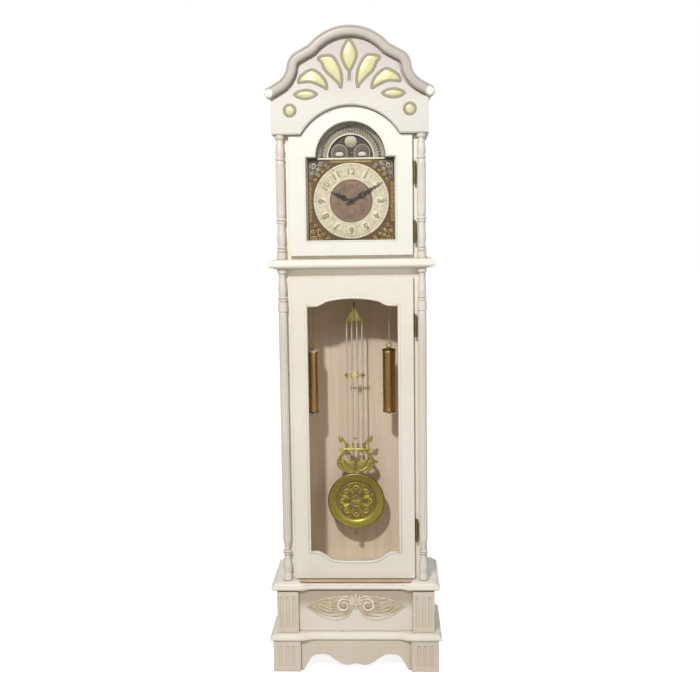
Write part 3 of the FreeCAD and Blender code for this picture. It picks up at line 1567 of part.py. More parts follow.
def make_suspension_cock():
    # Two drilled cheeks carry the pendulum's pin behind the back plate
    half = cock_half_width
    low = suspension_z - cock_half_height
    high = suspension_z + cock_half_height
    end = pendulum_y + cock_gap + cock_cheek
    arm = block(half, half + cock_cheek, plate_rear, end, low, high)
    bars = []
    for y0 in (pendulum_y - cock_gap - cock_cheek, pendulum_y + cock_gap):
        bar = block(-half, half, y0, y0 + cock_cheek, low, high)
        bars.append(bar.cut(rod_along_y(0, suspension_z, suspension_pin_radius + running_gap, y0 - overrun,
                                        y0 + overrun)))
    return fuse(pair(arm) + bars)


def make_pendulum_leader():
    # Pin, flat leader and the hook plate that carries the rods
    pin = rod_along_y(0, suspension_z, suspension_pin_radius, pendulum_y - suspension_pin_half,
                      pendulum_y + suspension_pin_half)
    half = leader_thickness / 2
    boss = rod_along_y(0, suspension_z, leader_width / 2, pendulum_y - 2 * half, pendulum_y + 2 * half)
    strip = block(-leader_width / 2, leader_width / 2, pendulum_y - half, pendulum_y + half, hook_plate_apex,
                  suspension_z)
    plate_points = [at(leader_width / 2, hook_plate_apex), at(hook_plate_half, hook_plate_base),
                    at(-hook_plate_half, hook_plate_base), at(-leader_width / 2, hook_plate_apex)]
    plate = slab(polygon(plate_points), pendulum_y - 2 * half, pendulum_y + 2 * half)
    return fuse([pin, boss, strip, plate])


def make_pendulum_rods():
    low = lyre_bar_height
    rods = [rod_along_z(x, pendulum_y, rod_radius, low, hook_plate_base)
            for x in (-rod_spacing, -rod_spacing / 3, rod_spacing / 3, rod_spacing)]
    half = 2 * rod_radius
    bar = block(-cross_bar_half, cross_bar_half, pendulum_y - half, pendulum_y + half,
                cross_bar_height - half, cross_bar_height + half)
    boss = rod_along_y(0, cross_bar_height, 3 * rod_radius, pendulum_y - half - rod_radius, pendulum_y + half)
    return fuse(rods + [bar, boss])


def make_pendulum_lyre():
    # Two curved arms joined by a foot and a bar
    y0, y1 = pendulum_y - lyre_thickness / 2, pendulum_y + lyre_thickness / 2

    def place(x, z):
        return at(lyre_half * x, lyre_foot_height + lyre_height * z)

    outer = [place(x, z) for x, z in lyre_outer_shares]
    inner = [place(x, z) for x, z in lyre_inner_shares]
    foot = at(0, lyre_foot_height)
    throat = place(0, lyre_throat_share)
    arm = slab([Part.LineSegment(foot, outer[0]).toShape(), smooth_edge(outer),
                Part.LineSegment(outer[-1], inner[0]).toShape(), smooth_edge(inner),
                Part.LineSegment(inner[-1], throat).toShape(), Part.LineSegment(throat, foot).toShape()], y0, y1)
    bar = block(-lyre_bar_half, lyre_bar_half, y0 - rod_radius, y1 + rod_radius, lyre_bar_height - 2 * rod_radius,
                lyre_bar_height)
    stem = block(-2 * rod_radius, 2 * rod_radius, y0, y1, bob_height + bob_radius - bob_rim, lyre_bar_height)
    return fuse(pair(arm) + [bar, stem]).cut(make_pendulum_rods()).cut(bob_disc())


def bob_disc():
    # A dished disc with a rolled rim and a raised middle
    y0, y1 = pendulum_y - bob_thickness / 2, pendulum_y + bob_thickness / 2
    profile = [(0, y0 + bob_edge), (bob_boss_radius, y0 + bob_boss_depth),
               (bob_boss_radius + bob_step, y0 + bob_field_depth),
               (bob_radius - 2 * bob_rim, y0 + bob_field_depth),
               (bob_radius - bob_rim, y0), (bob_radius - bob_edge, y0 + bob_edge),
               (bob_radius, y0 + bob_thickness / 2), (bob_radius - bob_rim, y1 - bob_step), (0, y1)]
    points = [Vector(r, y, bob_height) for r, y in profile]
    face = Part.Face(Part.Wire(polygon(points)))
    return face.revolve(Vector(0, 0, bob_height), Vector(0, 1, 0), 360)


def make_pendulum_bob():
    # The disc, and the rating screw and nut below
    disc = bob_disc()
    low = bob_height - bob_radius
    screw = rod_along_z(0, pendulum_y, rod_radius, low - rating_screw, low + bob_rim)
    nut = rod_along_z(0, pendulum_y, rating_nut_radius, low - rating_nut_drop - rating_nut_height,
                      low - rating_nut_drop)
    return fuse([disc, screw, nut])


def make_moon_disc():
    z = arch_z - hour_pipe_outer
    y0 = dial_back + dial_plate_thickness
    y1 = y0 + moon_disc_thickness
    root = moon_disc_radius - moon_tooth_depth
    points = []
    for k in range(moon_teeth):
        a = 2 * math.pi * k / moon_teeth
        lead = math.pi / moon_teeth
        points.append(at(root * math.sin(a), root * math.cos(a)))
        points.append(at(moon_disc_radius * math.sin(a + lead), moon_disc_radius * math.cos(a + lead)))
    bore = minute_arbor_radius + running_gap
    disc = disc_slab(0, z, points, [circle_wire(bore)], y0, y1)
    moons = [rod_along_y(0, z + side * moon_orbit, moon_radius, y0 - hand_thickness, y0) for side in (-1, 1)]
    return Part.makeCompound([disc] + moons)


pieces = {
    "front_feet": make_front_feet(),
    "apron_front": make_apron_front(),
    "base_boards": make_base_boards(),
    "lower_ledge": make_lower_ledge(),
    "plinth_posts": make_plinth_posts(),
    "plinth_panel": make_plinth_panel(),
    "plinth_boards": make_plinth_boards(),
    "carved_ornament": make_carved_ornament(),
    "upper_ledge": make_upper_ledge(),
    "case_sides": make_case_sides(),
    "back_board": make_back_board(),
    "waist_face_frame": make_waist_face_frame(),
    "waist_column_left": waist_column(-column_x),
    "waist_column_right": waist_column(column_x),
    "waist_door_frame": make_waist_door_frame(),
    "waist_door_glass": make_waist_door_glass(),
    "waist_door_hinges": make_door_hinges("waist"),
    "hood_moulding": make_hood_moulding(),
    "hood_face_frame": make_hood_face_frame(),
    "hood_column_left": hood_column(-column_x),
    "hood_column_right": hood_column(column_x),
    "hood_door_frame": make_hood_door_frame(),
    "hood_door_glass": make_hood_door_glass(),
    "hood_door_hinges": make_door_hinges("hood"),
    "case_hinges": make_case_fittings(),
    "hood_roof": make_hood_roof(),
    "pediment_board": make_pediment_board(),
    "pediment_inlays": make_pediment_inlays(),
    "crown_moulding": make_crown_moulding(),
    "seat_board": make_seat_board(),
    "dial_plate": make_dial_plate(),
    "chapter_ring": make_chapter_ring(),
    "dial_spandrels": make_dial_spandrels(),
    "lunar_scale": make_lunar_scale(),
    "moon_disc": make_moon_disc(),
    "minute_hand": make_minute_hand(),
    "centre_arbor": make_centre_arbor(),
    "hour_hand": make_hour_hand(),
    "motion_wheel": make_motion_wheel(),
    "third_wheel": make_third_wheel(),
    "escape_wheel": make_escape_wheel(),
    "anchor": make_anchor(),
    "great_wheel": make_great_wheel(),
    "movement_frame": make_movement_frame(),
    "roller_brackets": make_roller_brackets(),
    "line_leads": make_line_leads(),
    "strike_hammer": make_strike_hammer(),
    "gong_rods": make_gong_rods(),
    "pendulum_leader": make_pendulum_leader(),
    "pendulum_rods": make_pendulum_rods(),
    "pendulum_lyre": make_pendulum_lyre(),
    "pendulum_bob": make_pendulum_bob(),
}

for side, name in ((-1, "left"), (1, "right")):
    pieces["drum_" + name] = drum(side)
    pieces["guide_roller_" + name] = make_guide_roller(side)
    pieces["weight_line_" + name] = make_line(side)

for side, name in ((-1, "left"), (1, "right")):
    pieces["weight_" + name] = make_weight(side)

os.makedirs("parts", exist_ok=True)
for name, shape in pieces.items():
    shape.exportStep("parts/" + name + ".step")
    state = "valid" if shape.isValid() else "NOT VALID"
    print(name, state, len(shape.Solids), round(shape.Volume / 1000, 1), "cm3")
print(len(pieces), "nodes")
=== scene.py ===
import math

import bmesh
import bpy
from mathutils import Matrix, Vector


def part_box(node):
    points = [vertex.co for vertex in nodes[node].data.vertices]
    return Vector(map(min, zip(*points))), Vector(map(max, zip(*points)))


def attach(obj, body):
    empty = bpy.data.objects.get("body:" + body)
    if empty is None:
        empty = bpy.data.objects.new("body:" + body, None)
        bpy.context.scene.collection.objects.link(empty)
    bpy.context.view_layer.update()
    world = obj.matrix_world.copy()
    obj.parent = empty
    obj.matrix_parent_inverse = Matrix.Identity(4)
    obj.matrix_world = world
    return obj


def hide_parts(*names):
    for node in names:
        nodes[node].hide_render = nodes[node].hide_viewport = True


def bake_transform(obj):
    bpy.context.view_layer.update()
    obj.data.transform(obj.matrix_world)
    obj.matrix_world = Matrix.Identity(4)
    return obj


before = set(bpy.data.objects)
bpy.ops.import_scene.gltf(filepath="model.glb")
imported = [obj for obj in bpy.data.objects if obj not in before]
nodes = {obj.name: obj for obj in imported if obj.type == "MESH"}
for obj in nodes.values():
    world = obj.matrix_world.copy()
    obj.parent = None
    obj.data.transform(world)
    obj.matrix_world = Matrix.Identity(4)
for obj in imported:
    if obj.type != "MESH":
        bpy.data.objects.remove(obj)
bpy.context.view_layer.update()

# The clock is drawn in millimetres and turned into metres where a mesh is made.
mm = 0.001
print("frame loaded:", len(nodes), "nodes")


def nodeBox(name):
    low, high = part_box(name)
    return low / mm, high / mm


def middle(name):
    low, high = nodeBox(name)
    return (low + high) / 2


# Shapes: a part is a list of points and a list of faces

def polar(x, z, reach, degrees):
    # point at a distance from (x, z), the angle clockwise from the top
    angle = math.radians(degrees)
    return x + reach * math.sin(angle), z + reach * math.cos(angle)


def turn(part, x, z, angle=0.0, flip=1):
    # swings a part clockwise, seen from the front, then sets it at (x, z); flip -1 mirrors it first
    points, faces = part
    c, s = math.cos(angle), math.sin(angle)
    moved = [(x + flip * px * c + pz * s, py, z - flip * px * s + pz * c) for px, py, pz in points]
    return moved, faces


def mirrored(parts):
    return [([(-x, y, z) for x, y, z in points], faces) for points, faces in parts]


def bothSides(parts):
    return parts + mirrored(parts)


def readMesh(thing):
    # points and faces of a flat curve or a word, stood up to face the front
    bpy.context.scene.collection.objects.link(thing)
    bpy.context.view_layer.update()
    shape = bpy.data.meshes.new_from_object(thing.evaluated_get(bpy.context.evaluated_depsgraph_get()))
    points = [(v.co.x, -v.co.z, v.co.y) for v in shape.vertices]
    faces = [tuple(f.vertices) for f in shape.polygons]
    data = thing.data
    bpy.data.objects.remove(thing)
    bpy.data.curves.remove(data)
    bpy.data.meshes.remove(shape)
    return points, faces


def setBack(part, y):
    points, faces = part
    return [(px, py + y, pz) for px, py, pz in points], faces


def plate(loops, front, back, edge=0.4):
    # sheet cut to closed outlines of (x, z) points, with a rounded edge
    data = bpy.data.curves.new("sheet", "CURVE")
    data.dimensions = "2D"
    data.fill_mode = "BOTH"
    data.extrude = (back - front) / 2 - edge
    data.bevel_depth = edge
    data.bevel_resolution = 1
    data.offset = -edge
    for loop in loops:
        spline = data.splines.new("POLY")
        spline.points.add(len(loop) - 1)
        for point, (x, z) in zip(spline.points, loop):
            point.co = (x, z, 0, 1)
        spline.use_cyclic_u = True
    return setBack(readMesh(bpy.data.objects.new("sheet", data)), (front + back) / 2)


def numeral(text, size, front, back, edge=0.25, weight=0.9):
    data = bpy.data.curves.new("numeral", "FONT")
    data.body = text
    data.size = size
    data.align_x = "CENTER"
    data.align_y = "CENTER"
    data.extrude = (back - front) / 2 - edge
    data.bevel_depth = edge
    data.offset = weight
    data.resolution_u = 4
    return setBack(readMesh(bpy.data.objects.new("numeral", data)), (front + back) / 2)


def lathe(profile, place, axis, segments=64, flutes=None):
    # turned shape: profile holds (radius, distance along the axis)
    points, faces, rows = [], [], []
    for radius, along in profile:
        count = segments if radius > 0.001 else 1
        row = []
        for k in range(count):
            angle = 2 * math.pi * k / segments
            reach = radius
            if flutes and flutes["low"] < along < flutes["high"]:
                reach *= 1 - flutes["depth"] * abs(math.sin(flutes["count"] * angle / 2))
            a, b = reach * math.cos(angle), reach * math.sin(angle)
            spot = {"z": (a, b, along), "y": (a, along, b), "x": (along, a, b)}[axis]
            row.append(len(points))
            points.append(tuple(place[i] + spot[i] for i in range(3)))
        rows.append(row)
    for low, high in zip(rows, rows[1:]):
        for k in range(segments):
            ring = [low[k % len(low)], low[(k + 1) % len(low)], high[(k + 1) % len(high)],
                    high[k % len(high)]]
            ring = [v for i, v in enumerate(ring) if v not in ring[:i]]
            if len(ring) > 2:
                faces.append(tuple(ring))
    for row in (rows[0], rows[-1]):
        if len(row) > 1:
            faces.append(tuple(row))
    return points, faces


def spread(values, share):
    # value at a share of the way along an evenly spaced list
    spot = share * (len(values) - 1)
    low = min(int(spot), len(values) - 2)
    return values[low] + (values[low + 1] - values[low]) * (spot - low)


def smoothLine(corners, steps=8, closed=False):
    # a smooth line through points of any size
    count = len(corners)
    line = []
    for k in range(count if closed else count - 1):
        quad = [corners[(k + i) % count] if closed else corners[min(max(k + i, 0), count - 1)]
                for i in (-1, 0, 1, 2)]
        for step in range(steps):
            t = step / steps
            weights = (-t ** 3 / 2 + t * t - t / 2, 1.5 * t ** 3 - 2.5 * t * t + 1,
                       -1.5 * t ** 3 + 2 * t * t + t / 2, t ** 3 / 2 - t * t / 2)
            line.append(tuple(sum(w * p[i] for w, p in zip(weights, quad)) for i in range(len(quad[0]))))
    if not closed:
        line.append(tuple(corners[-1]))
    return line


def scroll(x, z, outer, inner, start, turns, steps=30):
    # spiral from its outer end inwards; start is in degrees, clockwise from the top
    line = []
    for k in range(steps + 1):
        share = k / steps
        line.append(polar(x, z, outer + (inner - outer) * share ** 0.8, start + 360 * turns * share))
    return line


def arc(x, z, radius, start, end, steps=48):
    return [polar(x, z, radius, start + (end - start) * k / steps) for k in range(steps + 1)]


def circle(x, z, radius, steps=48):
    return arc(x, z, radius, 0, 360, steps)[:-1]


halfRound = [(math.cos(math.pi * k / 6), math.sin(math.pi * k / 6)) for k in range(7)]
leafSection = [(1.0, 0.0), (0.82, 0.75), (0.5, 1.0), (0.2, 0.66), (0.0, 0.42), (-0.2, 0.66), (-0.5, 1.0),
               (-0.82, 0.75), (-1.0, 0.0)]
flatSection = [(1.0, 0.0), (1.0, 0.7), (0.8, 1.0), (-0.8, 1.0), (-1.0, 0.7), (-1.0, 0.0)]


def ridge(line, widths, rise, ground, section=halfRound, closed=False, sink=0.3):
    # raised strand on a flat ground that faces the front, closed at the back
    shape = [(across, up * rise) for across, up in section]
    shape = [(shape[0][0], -sink)] + shape + [(shape[-1][0], -sink)]
    count, size = len(line), len(shape)
    widest = max(widths)
    points, faces = [], []
    for k, (x, z) in enumerate(line):
        before = line[(k - 1) % count] if closed else line[max(k - 1, 0)]
        after = line[(k + 1) % count] if closed else line[min(k + 1, count - 1)]
        dx, dz = after[0] - before[0], after[1] - before[1]
        length = math.hypot(dx, dz) or 1.0
        width = spread(widths, k / count if closed else k / (count - 1))
        lift = min(1.0, width / widest) ** 0.6
        for across, up in shape:
            points.append((x - dz / length * across * width, ground - (up * lift if up > 0 else up),
                           z + dx / length * across * width))
    for k in range(count if closed else count - 1):
        here, there = k * size, (k + 1) % count * size
        for j in range(size):
            i = (j + 1) % size
            faces.append((here + j, here + i, there + i, there + j))
    if not closed:
        faces.append(tuple(range(size)))
        faces.append(tuple((count - 1) * size + j for j in range(size)))
    return points, faces


def raisedRing(z, radius, width, rise, ground, steps=96):
    # raised circle round (0, z)
    return ridge(circle(0, z, radius, steps), [width, width], rise, ground, closed=True)


def wire(line, radius, sides=10, closed=False):
    # round wire along any line in space
    line = [Vector(p) for p in line]
    count = len(line)
    points, faces = [], []
    guide = None
    for k, spot in enumerate(line):
        before = line[(k - 1) % count] if closed else line[max(k - 1, 0)]
        after = line[(k + 1) % count] if closed else line[min(k + 1, count - 1)]
        along = (after - before).normalized()
        if guide is None:
            guide = along.orthogonal().normalized()
        guide = (guide - along * guide.dot(along)).normalized()
        side = along.cross(guide)
        for j in range(sides):
            angle = 2 * math.pi * j / sides
            points.append(tuple(spot + (guide * math.cos(angle) + side * math.sin(angle)) * radius))
    for k in range(count if closed else count - 1):
        here, there = k * sides, (k + 1) % count * sides
        for j in range(sides):
            i = (j + 1) % sides
            faces.append((here + j, here + i, there + i, there + j))
    if not closed:
        faces.append(tuple(range(sides)))
        faces.append(tuple((count - 1) * sides + j for j in range(sides)))
    return points, faces


def makePiece(name, parts, material, body, replaced=(), crease=38):
    points, faces = [], []
    for partPoints, partFaces in parts:
        first = len(points)
        points += [(x * mm, y * mm, z * mm) for x, y, z in partPoints]
        faces += [tuple(first + i for i in face) for face in partFaces]
    shape = bpy.data.meshes.new(name)
    shape.from_pydata(points, [], faces)
    work = bmesh.new()
    work.from_mesh(shape)
    bmesh.ops.remove_doubles(work, verts=work.verts, dist=0.002 * mm)
    bmesh.ops.recalc_face_normals(work, faces=work.faces)
    work.to_mesh(shape)
    work.free()
    shape.shade_smooth()
    shape.set_sharp_from_angle(angle=math.radians(crease))
    shape.materials.append(material)
    piece = bpy.data.objects.new(name, shape)
    bpy.context.scene.collection.objects.link(piece)
    if body:
        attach(piece, body)
    if replaced:
        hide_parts(*replaced)
    return piece


# Finishes

def addNode(tree, kind, **inputs):
    node = tree.nodes.new(kind)
    for name, value in inputs.items():
        node.inputs[name.replace("_", " ")].default_value = value
    return node


def newFinish(name):
    material = bpy.data.materials.new(name)
    material.use_nodes = True
    tree = material.node_tree
    return material, tree, tree.nodes["Principled BSDF"]


def colour(values):
    return (*values, 1.0)


def noiseOf(tree, scale, stretch=(1, 1, 1), detail=4.0, roughness=0.55):
    # noise in the object's own space; stretch below 1 draws it out along that axis
    place = tree.nodes.new("ShaderNodeTexCoord")
    scaled = tree.nodes.new("ShaderNodeMapping")
    scaled.inputs["Scale"].default_value = stretch
    noise = addNode(tree, "ShaderNodeTexNoise", Scale=scale, Detail=detail, Roughness=roughness)
    tree.links.new(place.outputs["Object"], scaled.inputs["Vector"])
    tree.links.new(scaled.outputs["Vector"], noise.inputs["Vector"])
    return noise.outputs["Fac"]


def drawnOut(along, share):
    # stretch that draws a grain out along one axis
    return tuple(share if axis == along else 1 for axis in "xyz")


def objectPlace(tree):
    # the object's own coordinates, one output for each axis
    place = tree.nodes.new("ShaderNodeTexCoord")
    split = tree.nodes.new("ShaderNodeSeparateXYZ")
    tree.links.new(place.outputs["Object"], split.inputs[0])
    return split.outputs


def ranged(tree, value, low, high, bottom=0.0, top=1.0):
    node = addNode(tree, "ShaderNodeMapRange", From_Min=low, From_Max=high, To_Min=bottom, To_Max=top)
    node.clamp = True
    tree.links.new(value, node.inputs["Value"])
    return node.outputs["Result"]


def blendColours(tree, share, first, second):
    # first and second are colours or links
    node = tree.nodes.new("ShaderNodeMix")
    node.data_type = "RGBA"
    tree.links.new(share, node.inputs[0])
    for socket, value in ((node.inputs[6], first), (node.inputs[7], second)):
        if isinstance(value, tuple):
            socket.default_value = colour(value)
        else:
            tree.links.new(value, socket)
    return node.outputs[2]


def recess(tree, reach, low, high):
    # 1 in corners and grooves, 0 on open faces
    corner = addNode(tree, "ShaderNodeAmbientOcclusion", Distance=reach * mm)
    corner.samples = 8
    return ranged(tree, corner.outputs["AO"], low, high, 1.0, 0.0)


def softEdges(tree, surface, radius, height=None, depth=0.0):
    # rounded arrises and, where a height is given, a fine relief
    bevel = addNode(tree, "ShaderNodeBevel", Radius=radius * mm)
    bevel.samples = 4
    normal = bevel.outputs["Normal"]
    if height is not None:
        bump = addNode(tree, "ShaderNodeBump", Strength=1.0, Distance=depth * mm)
        tree.links.new(height, bump.inputs["Height"])
        tree.links.new(normal, bump.inputs["Normal"])
        normal = bump.outputs["Normal"]
    tree.links.new(normal, surface.inputs["Normal"])


paint = {
    "glazeAndShade": (0.46, 0.36, 0.20),
    "roughness": (0.38, 0.5),
    "grainScale": 260.0,
    "grainStretch": 0.045,
    "grainDepth": 0.16,
    "glazeAndShadeReach": 9.0,
}


def fadeWith(tree, base, tone, heights, share):
    # painted shade: a tone laid over base, stronger towards the second height
    return blendColours(tree, ranged(tree, objectPlace(tree)["Z"], *heights, 0.0, share), base, tone)


def paintFinish(name, white, worn, along, glazeAndShadeColour=paint["glazeAndShade"], glazeAndShadeShare=0.75, edge=1.4, paintedShade=None):
    # cream lacquer over open grain, with a darker tone in the corners that is partly rubbed-in glazing,
    # partly painted shade
    material, tree, surface = newFinish(name)
    grain = noiseOf(tree, paint["grainScale"], drawnOut(along, paint["grainStretch"]), 5.0, 0.6)
    cloud = noiseOf(tree, 6.0, (1, 1, 1), 3.0)
    base = blendColours(tree, ranged(tree, cloud, 0.35, 0.7), white, worn)
    # painted shade: a darker tone laid on by height
    if paintedShade:
        base = fadeWith(tree, base, *paintedShade, 1.0)
    pores = ranged(tree, grain, 0.58, 0.74, 0.0, 0.22)
    base = blendColours(tree, pores, base, glazeAndShadeColour)
    # partly glazing, partly painted shade: a darker tone laid into corners and grooves wherever ambient
    # occlusion finds them
    glazeAndShade = ranged(tree, recess(tree, paint["glazeAndShadeReach"], 0.42, 0.86), 0.0, 1.0, 0.0, glazeAndShadeShare)
    base = blendColours(tree, glazeAndShade, base, glazeAndShadeColour)
    tree.links.new(base, surface.inputs["Base Color"])
    tree.links.new(ranged(tree, cloud, 0.3, 0.7, *paint["roughness"]), surface.inputs["Roughness"])
    softEdges(tree, surface, edge, grain, paint["grainDepth"])
    surface.inputs["Coat Weight"].default_value = 0.15
    surface.inputs["Coat Roughness"].default_value = 0.3
    return material


wood = {
    "pale": (0.86, 0.74, 0.60),
    "dark": (0.76, 0.63, 0.49),
    "streak": (0.56, 0.43, 0.31),
    "figureScale": 38.0,
    "poreScale": 420.0,
    "stretch": 0.05,
}


def woodFigure(tree, along):
    # drawn-out figure and the colour that it gives
    figure = noiseOf(tree, wood["figureScale"], drawnOut(along, wood["stretch"]), 5.0, 0.6)
    return figure, blendColours(tree, ranged(tree, figure, 0.35, 0.68), wood["pale"], wood["dark"])


def woodFinish(name, along, paintedShade=None):
    # matt lining veneer
    material, tree, surface = newFinish(name)
    figure, base = woodFigure(tree, along)
    pores = noiseOf(tree, wood["poreScale"], drawnOut(along, wood["stretch"]), 3.0)
    base = blendColours(tree, ranged(tree, pores, 0.6, 0.75, 0.0, 0.5), base, wood["streak"])
    if paintedShade:
        # painted shade: darker towards the top of the inner face; the rear face stays plain
        outer = ranged(tree, objectPlace(tree)["Y"], paintedShade[2] - 0.001, paintedShade[2])
        base = blendColours(tree, outer, fadeWith(tree, base, paintedShade[0], paintedShade[1], 0.65), base)
    tree.links.new(base, surface.inputs["Base Color"])
    tree.links.new(ranged(tree, figure, 0.3, 0.7, 0.5, 0.68), surface.inputs["Roughness"])
    softEdges(tree, surface, 1.0, pores, 0.12)
    return material


def metalFinish(name, bright, tarnishAndShade, roughness, patina=0.6, reach=4.0, brushed=None, metallic=1.0,
                relief=0.05, cloudScale=18.0, hammer=0.0, paintedShade=None):
    # metal with patina in its hollows, cloudy wear, fine polishing marks and painted shade by height
    material, tree, surface = newFinish(name)
    marks = noiseOf(tree, 600.0, drawnOut(brushed, 0.04), 3.0)
    cloud = noiseOf(tree, cloudScale, (1, 1, 1), 4.0)
    base = blendColours(tree, ranged(tree, cloud, 0.4, 0.75, 0.0, 0.45), bright, tarnishAndShade)
    base = blendColours(tree, ranged(tree, recess(tree, reach, 0.35, 0.9), 0.0, 1.0, 0.0, patina), base,
                        tarnishAndShade)
    # painted shade: the darker tone laid on by height
    if paintedShade:
        base = fadeWith(tree, base, tarnishAndShade, paintedShade, 0.65)
    tree.links.new(base, surface.inputs["Base Color"])
    surface.inputs["Metallic"].default_value = metallic
    tree.links.new(ranged(tree, cloud, 0.35, 0.7, roughness, roughness + 0.14), surface.inputs["Roughness"])
    height = noiseOf(tree, hammer, (1, 1, 1), 2.0) if hammer else marks
    softEdges(tree, surface, 0.5, height, relief)
    return material


def inlayFinish(name, pale, deep):
    # pale gold leaf under lacquer, slightly crazed
    material, tree, surface = newFinish(name)
    cloud = noiseOf(tree, 45.0, (1, 1, 1), 5.0)
    crackle = addNode(tree, "ShaderNodeTexVoronoi", Scale=160.0)
    crackle.feature = "DISTANCE_TO_EDGE"
    place = tree.nodes.new("ShaderNodeTexCoord")
    tree.links.new(place.outputs["Object"], crackle.inputs["Vector"])
    base = blendColours(tree, ranged(tree, cloud, 0.35, 0.7), pale, deep)
    base = blendColours(tree, ranged(tree, crackle.outputs["Distance"], 0.0, 0.05, 0.22, 0.0), base, deep)
    tree.links.new(base, surface.inputs["Base Color"])
    tree.links.new(ranged(tree, cloud, 0.3, 0.7, 0.3, 0.45), surface.inputs["Roughness"])
    softEdges(tree, surface, 0.8, cloud, 0.15)
    return material


def glassFinish(name):
    # clear pane: a thin mirror film, the rest passes straight through
    material, tree, surface = newFinish(name)
    surface.inputs["Base Color"].default_value = colour((0.24, 0.25, 0.245))
    surface.inputs["Metallic"].default_value = 1.0
    surface.inputs["Roughness"].default_value = 0.03
    surface.inputs["Alpha"].default_value = 0.05
    return material


def sideFinish(name, outside, limit):
    # paint on the outer faces of the carcass and lining veneer on the inner ones
    material = outside.copy()
    material.name = name
    tree = material.node_tree
    surface = tree.nodes["Principled BSDF"]
    size = tree.nodes.new("ShaderNodeMath")
    size.operation = "ABSOLUTE"
    tree.links.new(objectPlace(tree)["X"], size.inputs[0])
    inner = ranged(tree, size.outputs[0], (limit + 1) * mm, (limit + 1.5) * mm, 1.0, 0.0)
    current = surface.inputs["Base Color"].links[0].from_socket
    veneer = woodFigure(tree, "z")[1]
    tree.links.new(blendColours(tree, inner, current, veneer), surface.inputs["Base Color"])
    return material


# one cream paint in lighter and darker copies, piece by piece, standing for the light and shade on each:
# painted light and shade
tones = {
    "waistDoor": ((0.76, 0.73, 0.67), (0.71, 0.68, 0.61)),
    "hoodDoor": ((0.775, 0.78, 0.74), (0.74, 0.74, 0.69)),
    "frame": ((0.90, 0.86, 0.78), (0.86, 0.80, 0.70)),
    "column": ((0.71, 0.67, 0.62), (0.64, 0.60, 0.54)),
    "pediment": ((0.655, 0.645, 0.62), (0.62, 0.61, 0.585)),
    "pedimentPaintedShade": (0.495, 0.45, 0.435),
    "crown": ((0.45, 0.415, 0.38), (0.425, 0.39, 0.355)),
    "base": ((0.67, 0.60, 0.525), (0.61, 0.54, 0.455)),
    "panel": ((0.74, 0.70, 0.64), (0.70, 0.65, 0.58)),
    "panelPaintedShadow": (0.44, 0.38, 0.30),
    "ledge": ((0.87, 0.84, 0.765), (0.83, 0.79, 0.71)),
    "carving": ((0.87, 0.815, 0.715), (0.82, 0.745, 0.61)),
    "liningPaintedShade": (0.54, 0.39, 0.20),
    # grey and mauve: painted shade in the corners of the pediment, crown and horns
    "greyPaintedShade": (0.24, 0.20, 0.17),
    "mauvePaintedShade": (0.20, 0.16, 0.16),
    "goldGlazeAndShade": (0.34, 0.24, 0.10),
}
waistDoorPaint = paintFinish("cream_paint_waist_door", *tones["waistDoor"], "z")
hoodDoorPaint = paintFinish("cream_paint_hood_door", *tones["hoodDoor"], "z")
across = paintFinish("cream_paint_ledges", *tones["ledge"], "x", glazeAndShadeShare=0.5, edge=5.0)
frameUpright = paintFinish("cream_paint_frames", *tones["frame"], "z", tones["goldGlazeAndShade"], 0.4)
columnPaint = paintFinish("cream_paint_columns", *tones["column"], "z", tones["goldGlazeAndShade"], 0.7)
# the pediment turns darker towards its top: painted shade
pedimentPaint = paintFinish("cream_paint_pediment", *tones["pediment"], "x", tones["greyPaintedShade"], 0.4,
                            paintedShade=(tones["pedimentPaintedShade"], (1.78, 1.93)))
crownPaint = paintFinish("cream_paint_crown", *tones["crown"], "x", tones["mauvePaintedShade"], 0.15)
warmUpright = paintFinish("cream_paint_base_upright", *tones["base"], "z", tones["goldGlazeAndShade"], 0.6)
warmAcross = paintFinish("cream_paint_base_across", *tones["base"], "x", tones["goldGlazeAndShade"], 0.6)
# the panel turns darker just under the ledge: painted shadow of the ledge
panelPaint = paintFinish("cream_paint_panel", *tones["panel"], "x", tones["goldGlazeAndShade"], 0.7,
                         paintedShade=(tones["panelPaintedShadow"], (0.19, 0.226)))
# the lining turns darker towards the top of the trunk: painted shade
lining = woodFinish("lining_veneer", "z",
                    paintedShade=(tones["liningPaintedShade"], (1.0, 1.07), nodeBox("back_board")[1].y * mm - 0.001))
liningAcross = woodFinish("seat_wood", "x")
sidePaint = sideFinish("cream_paint_sides", frameUpright, nodeBox("hood_roof")[1].x)
carvingPaint = paintFinish("carved_paint", *tones["carving"], "x", tones["goldGlazeAndShade"], 0.8)
shellPaint = paintFinish("shell_paint", *tones["carving"], "x", tones["goldGlazeAndShade"], 0.35)
gapShadePaint = metalFinish("gap_painted_shade", (0.44, 0.42, 0.37), (0.36, 0.335, 0.28), 0.5, metallic=0.0)
crownShadowPaint = metalFinish("crown_painted_shadow", (0.36, 0.305, 0.30), (0.28, 0.23, 0.225), 0.5, metallic=0.0)
hollowGlazeAndShade = metalFinish("carving_glaze_and_shade", (0.60, 0.50, 0.36), (0.34, 0.255, 0.15), 0.5, 0.9, 6.0,
                          metallic=0.0, cloudScale=30.0)
inlayPaint = inlayFinish("gold_inlay", (0.66, 0.64, 0.38), (0.60, 0.56, 0.28))
inlayGrooveShade = metalFinish("inlay_edge_painted_shade", (0.31, 0.285, 0.20), (0.25, 0.225, 0.15), 0.5, metallic=0.0)
hornWhite = paintFinish("cream_paint_horn", *tones["ledge"], "x", tones["mauvePaintedShade"], 0.3)
clearGlass = glassFinish("window_glass")
bronze = metalFinish("dial_bronze", (0.12, 0.066, 0.018), (0.035, 0.018, 0.006), 0.42, 0.9, 3.0, relief=0.5,
                     hammer=300.0, cloudScale=60.0, metallic=0.3)
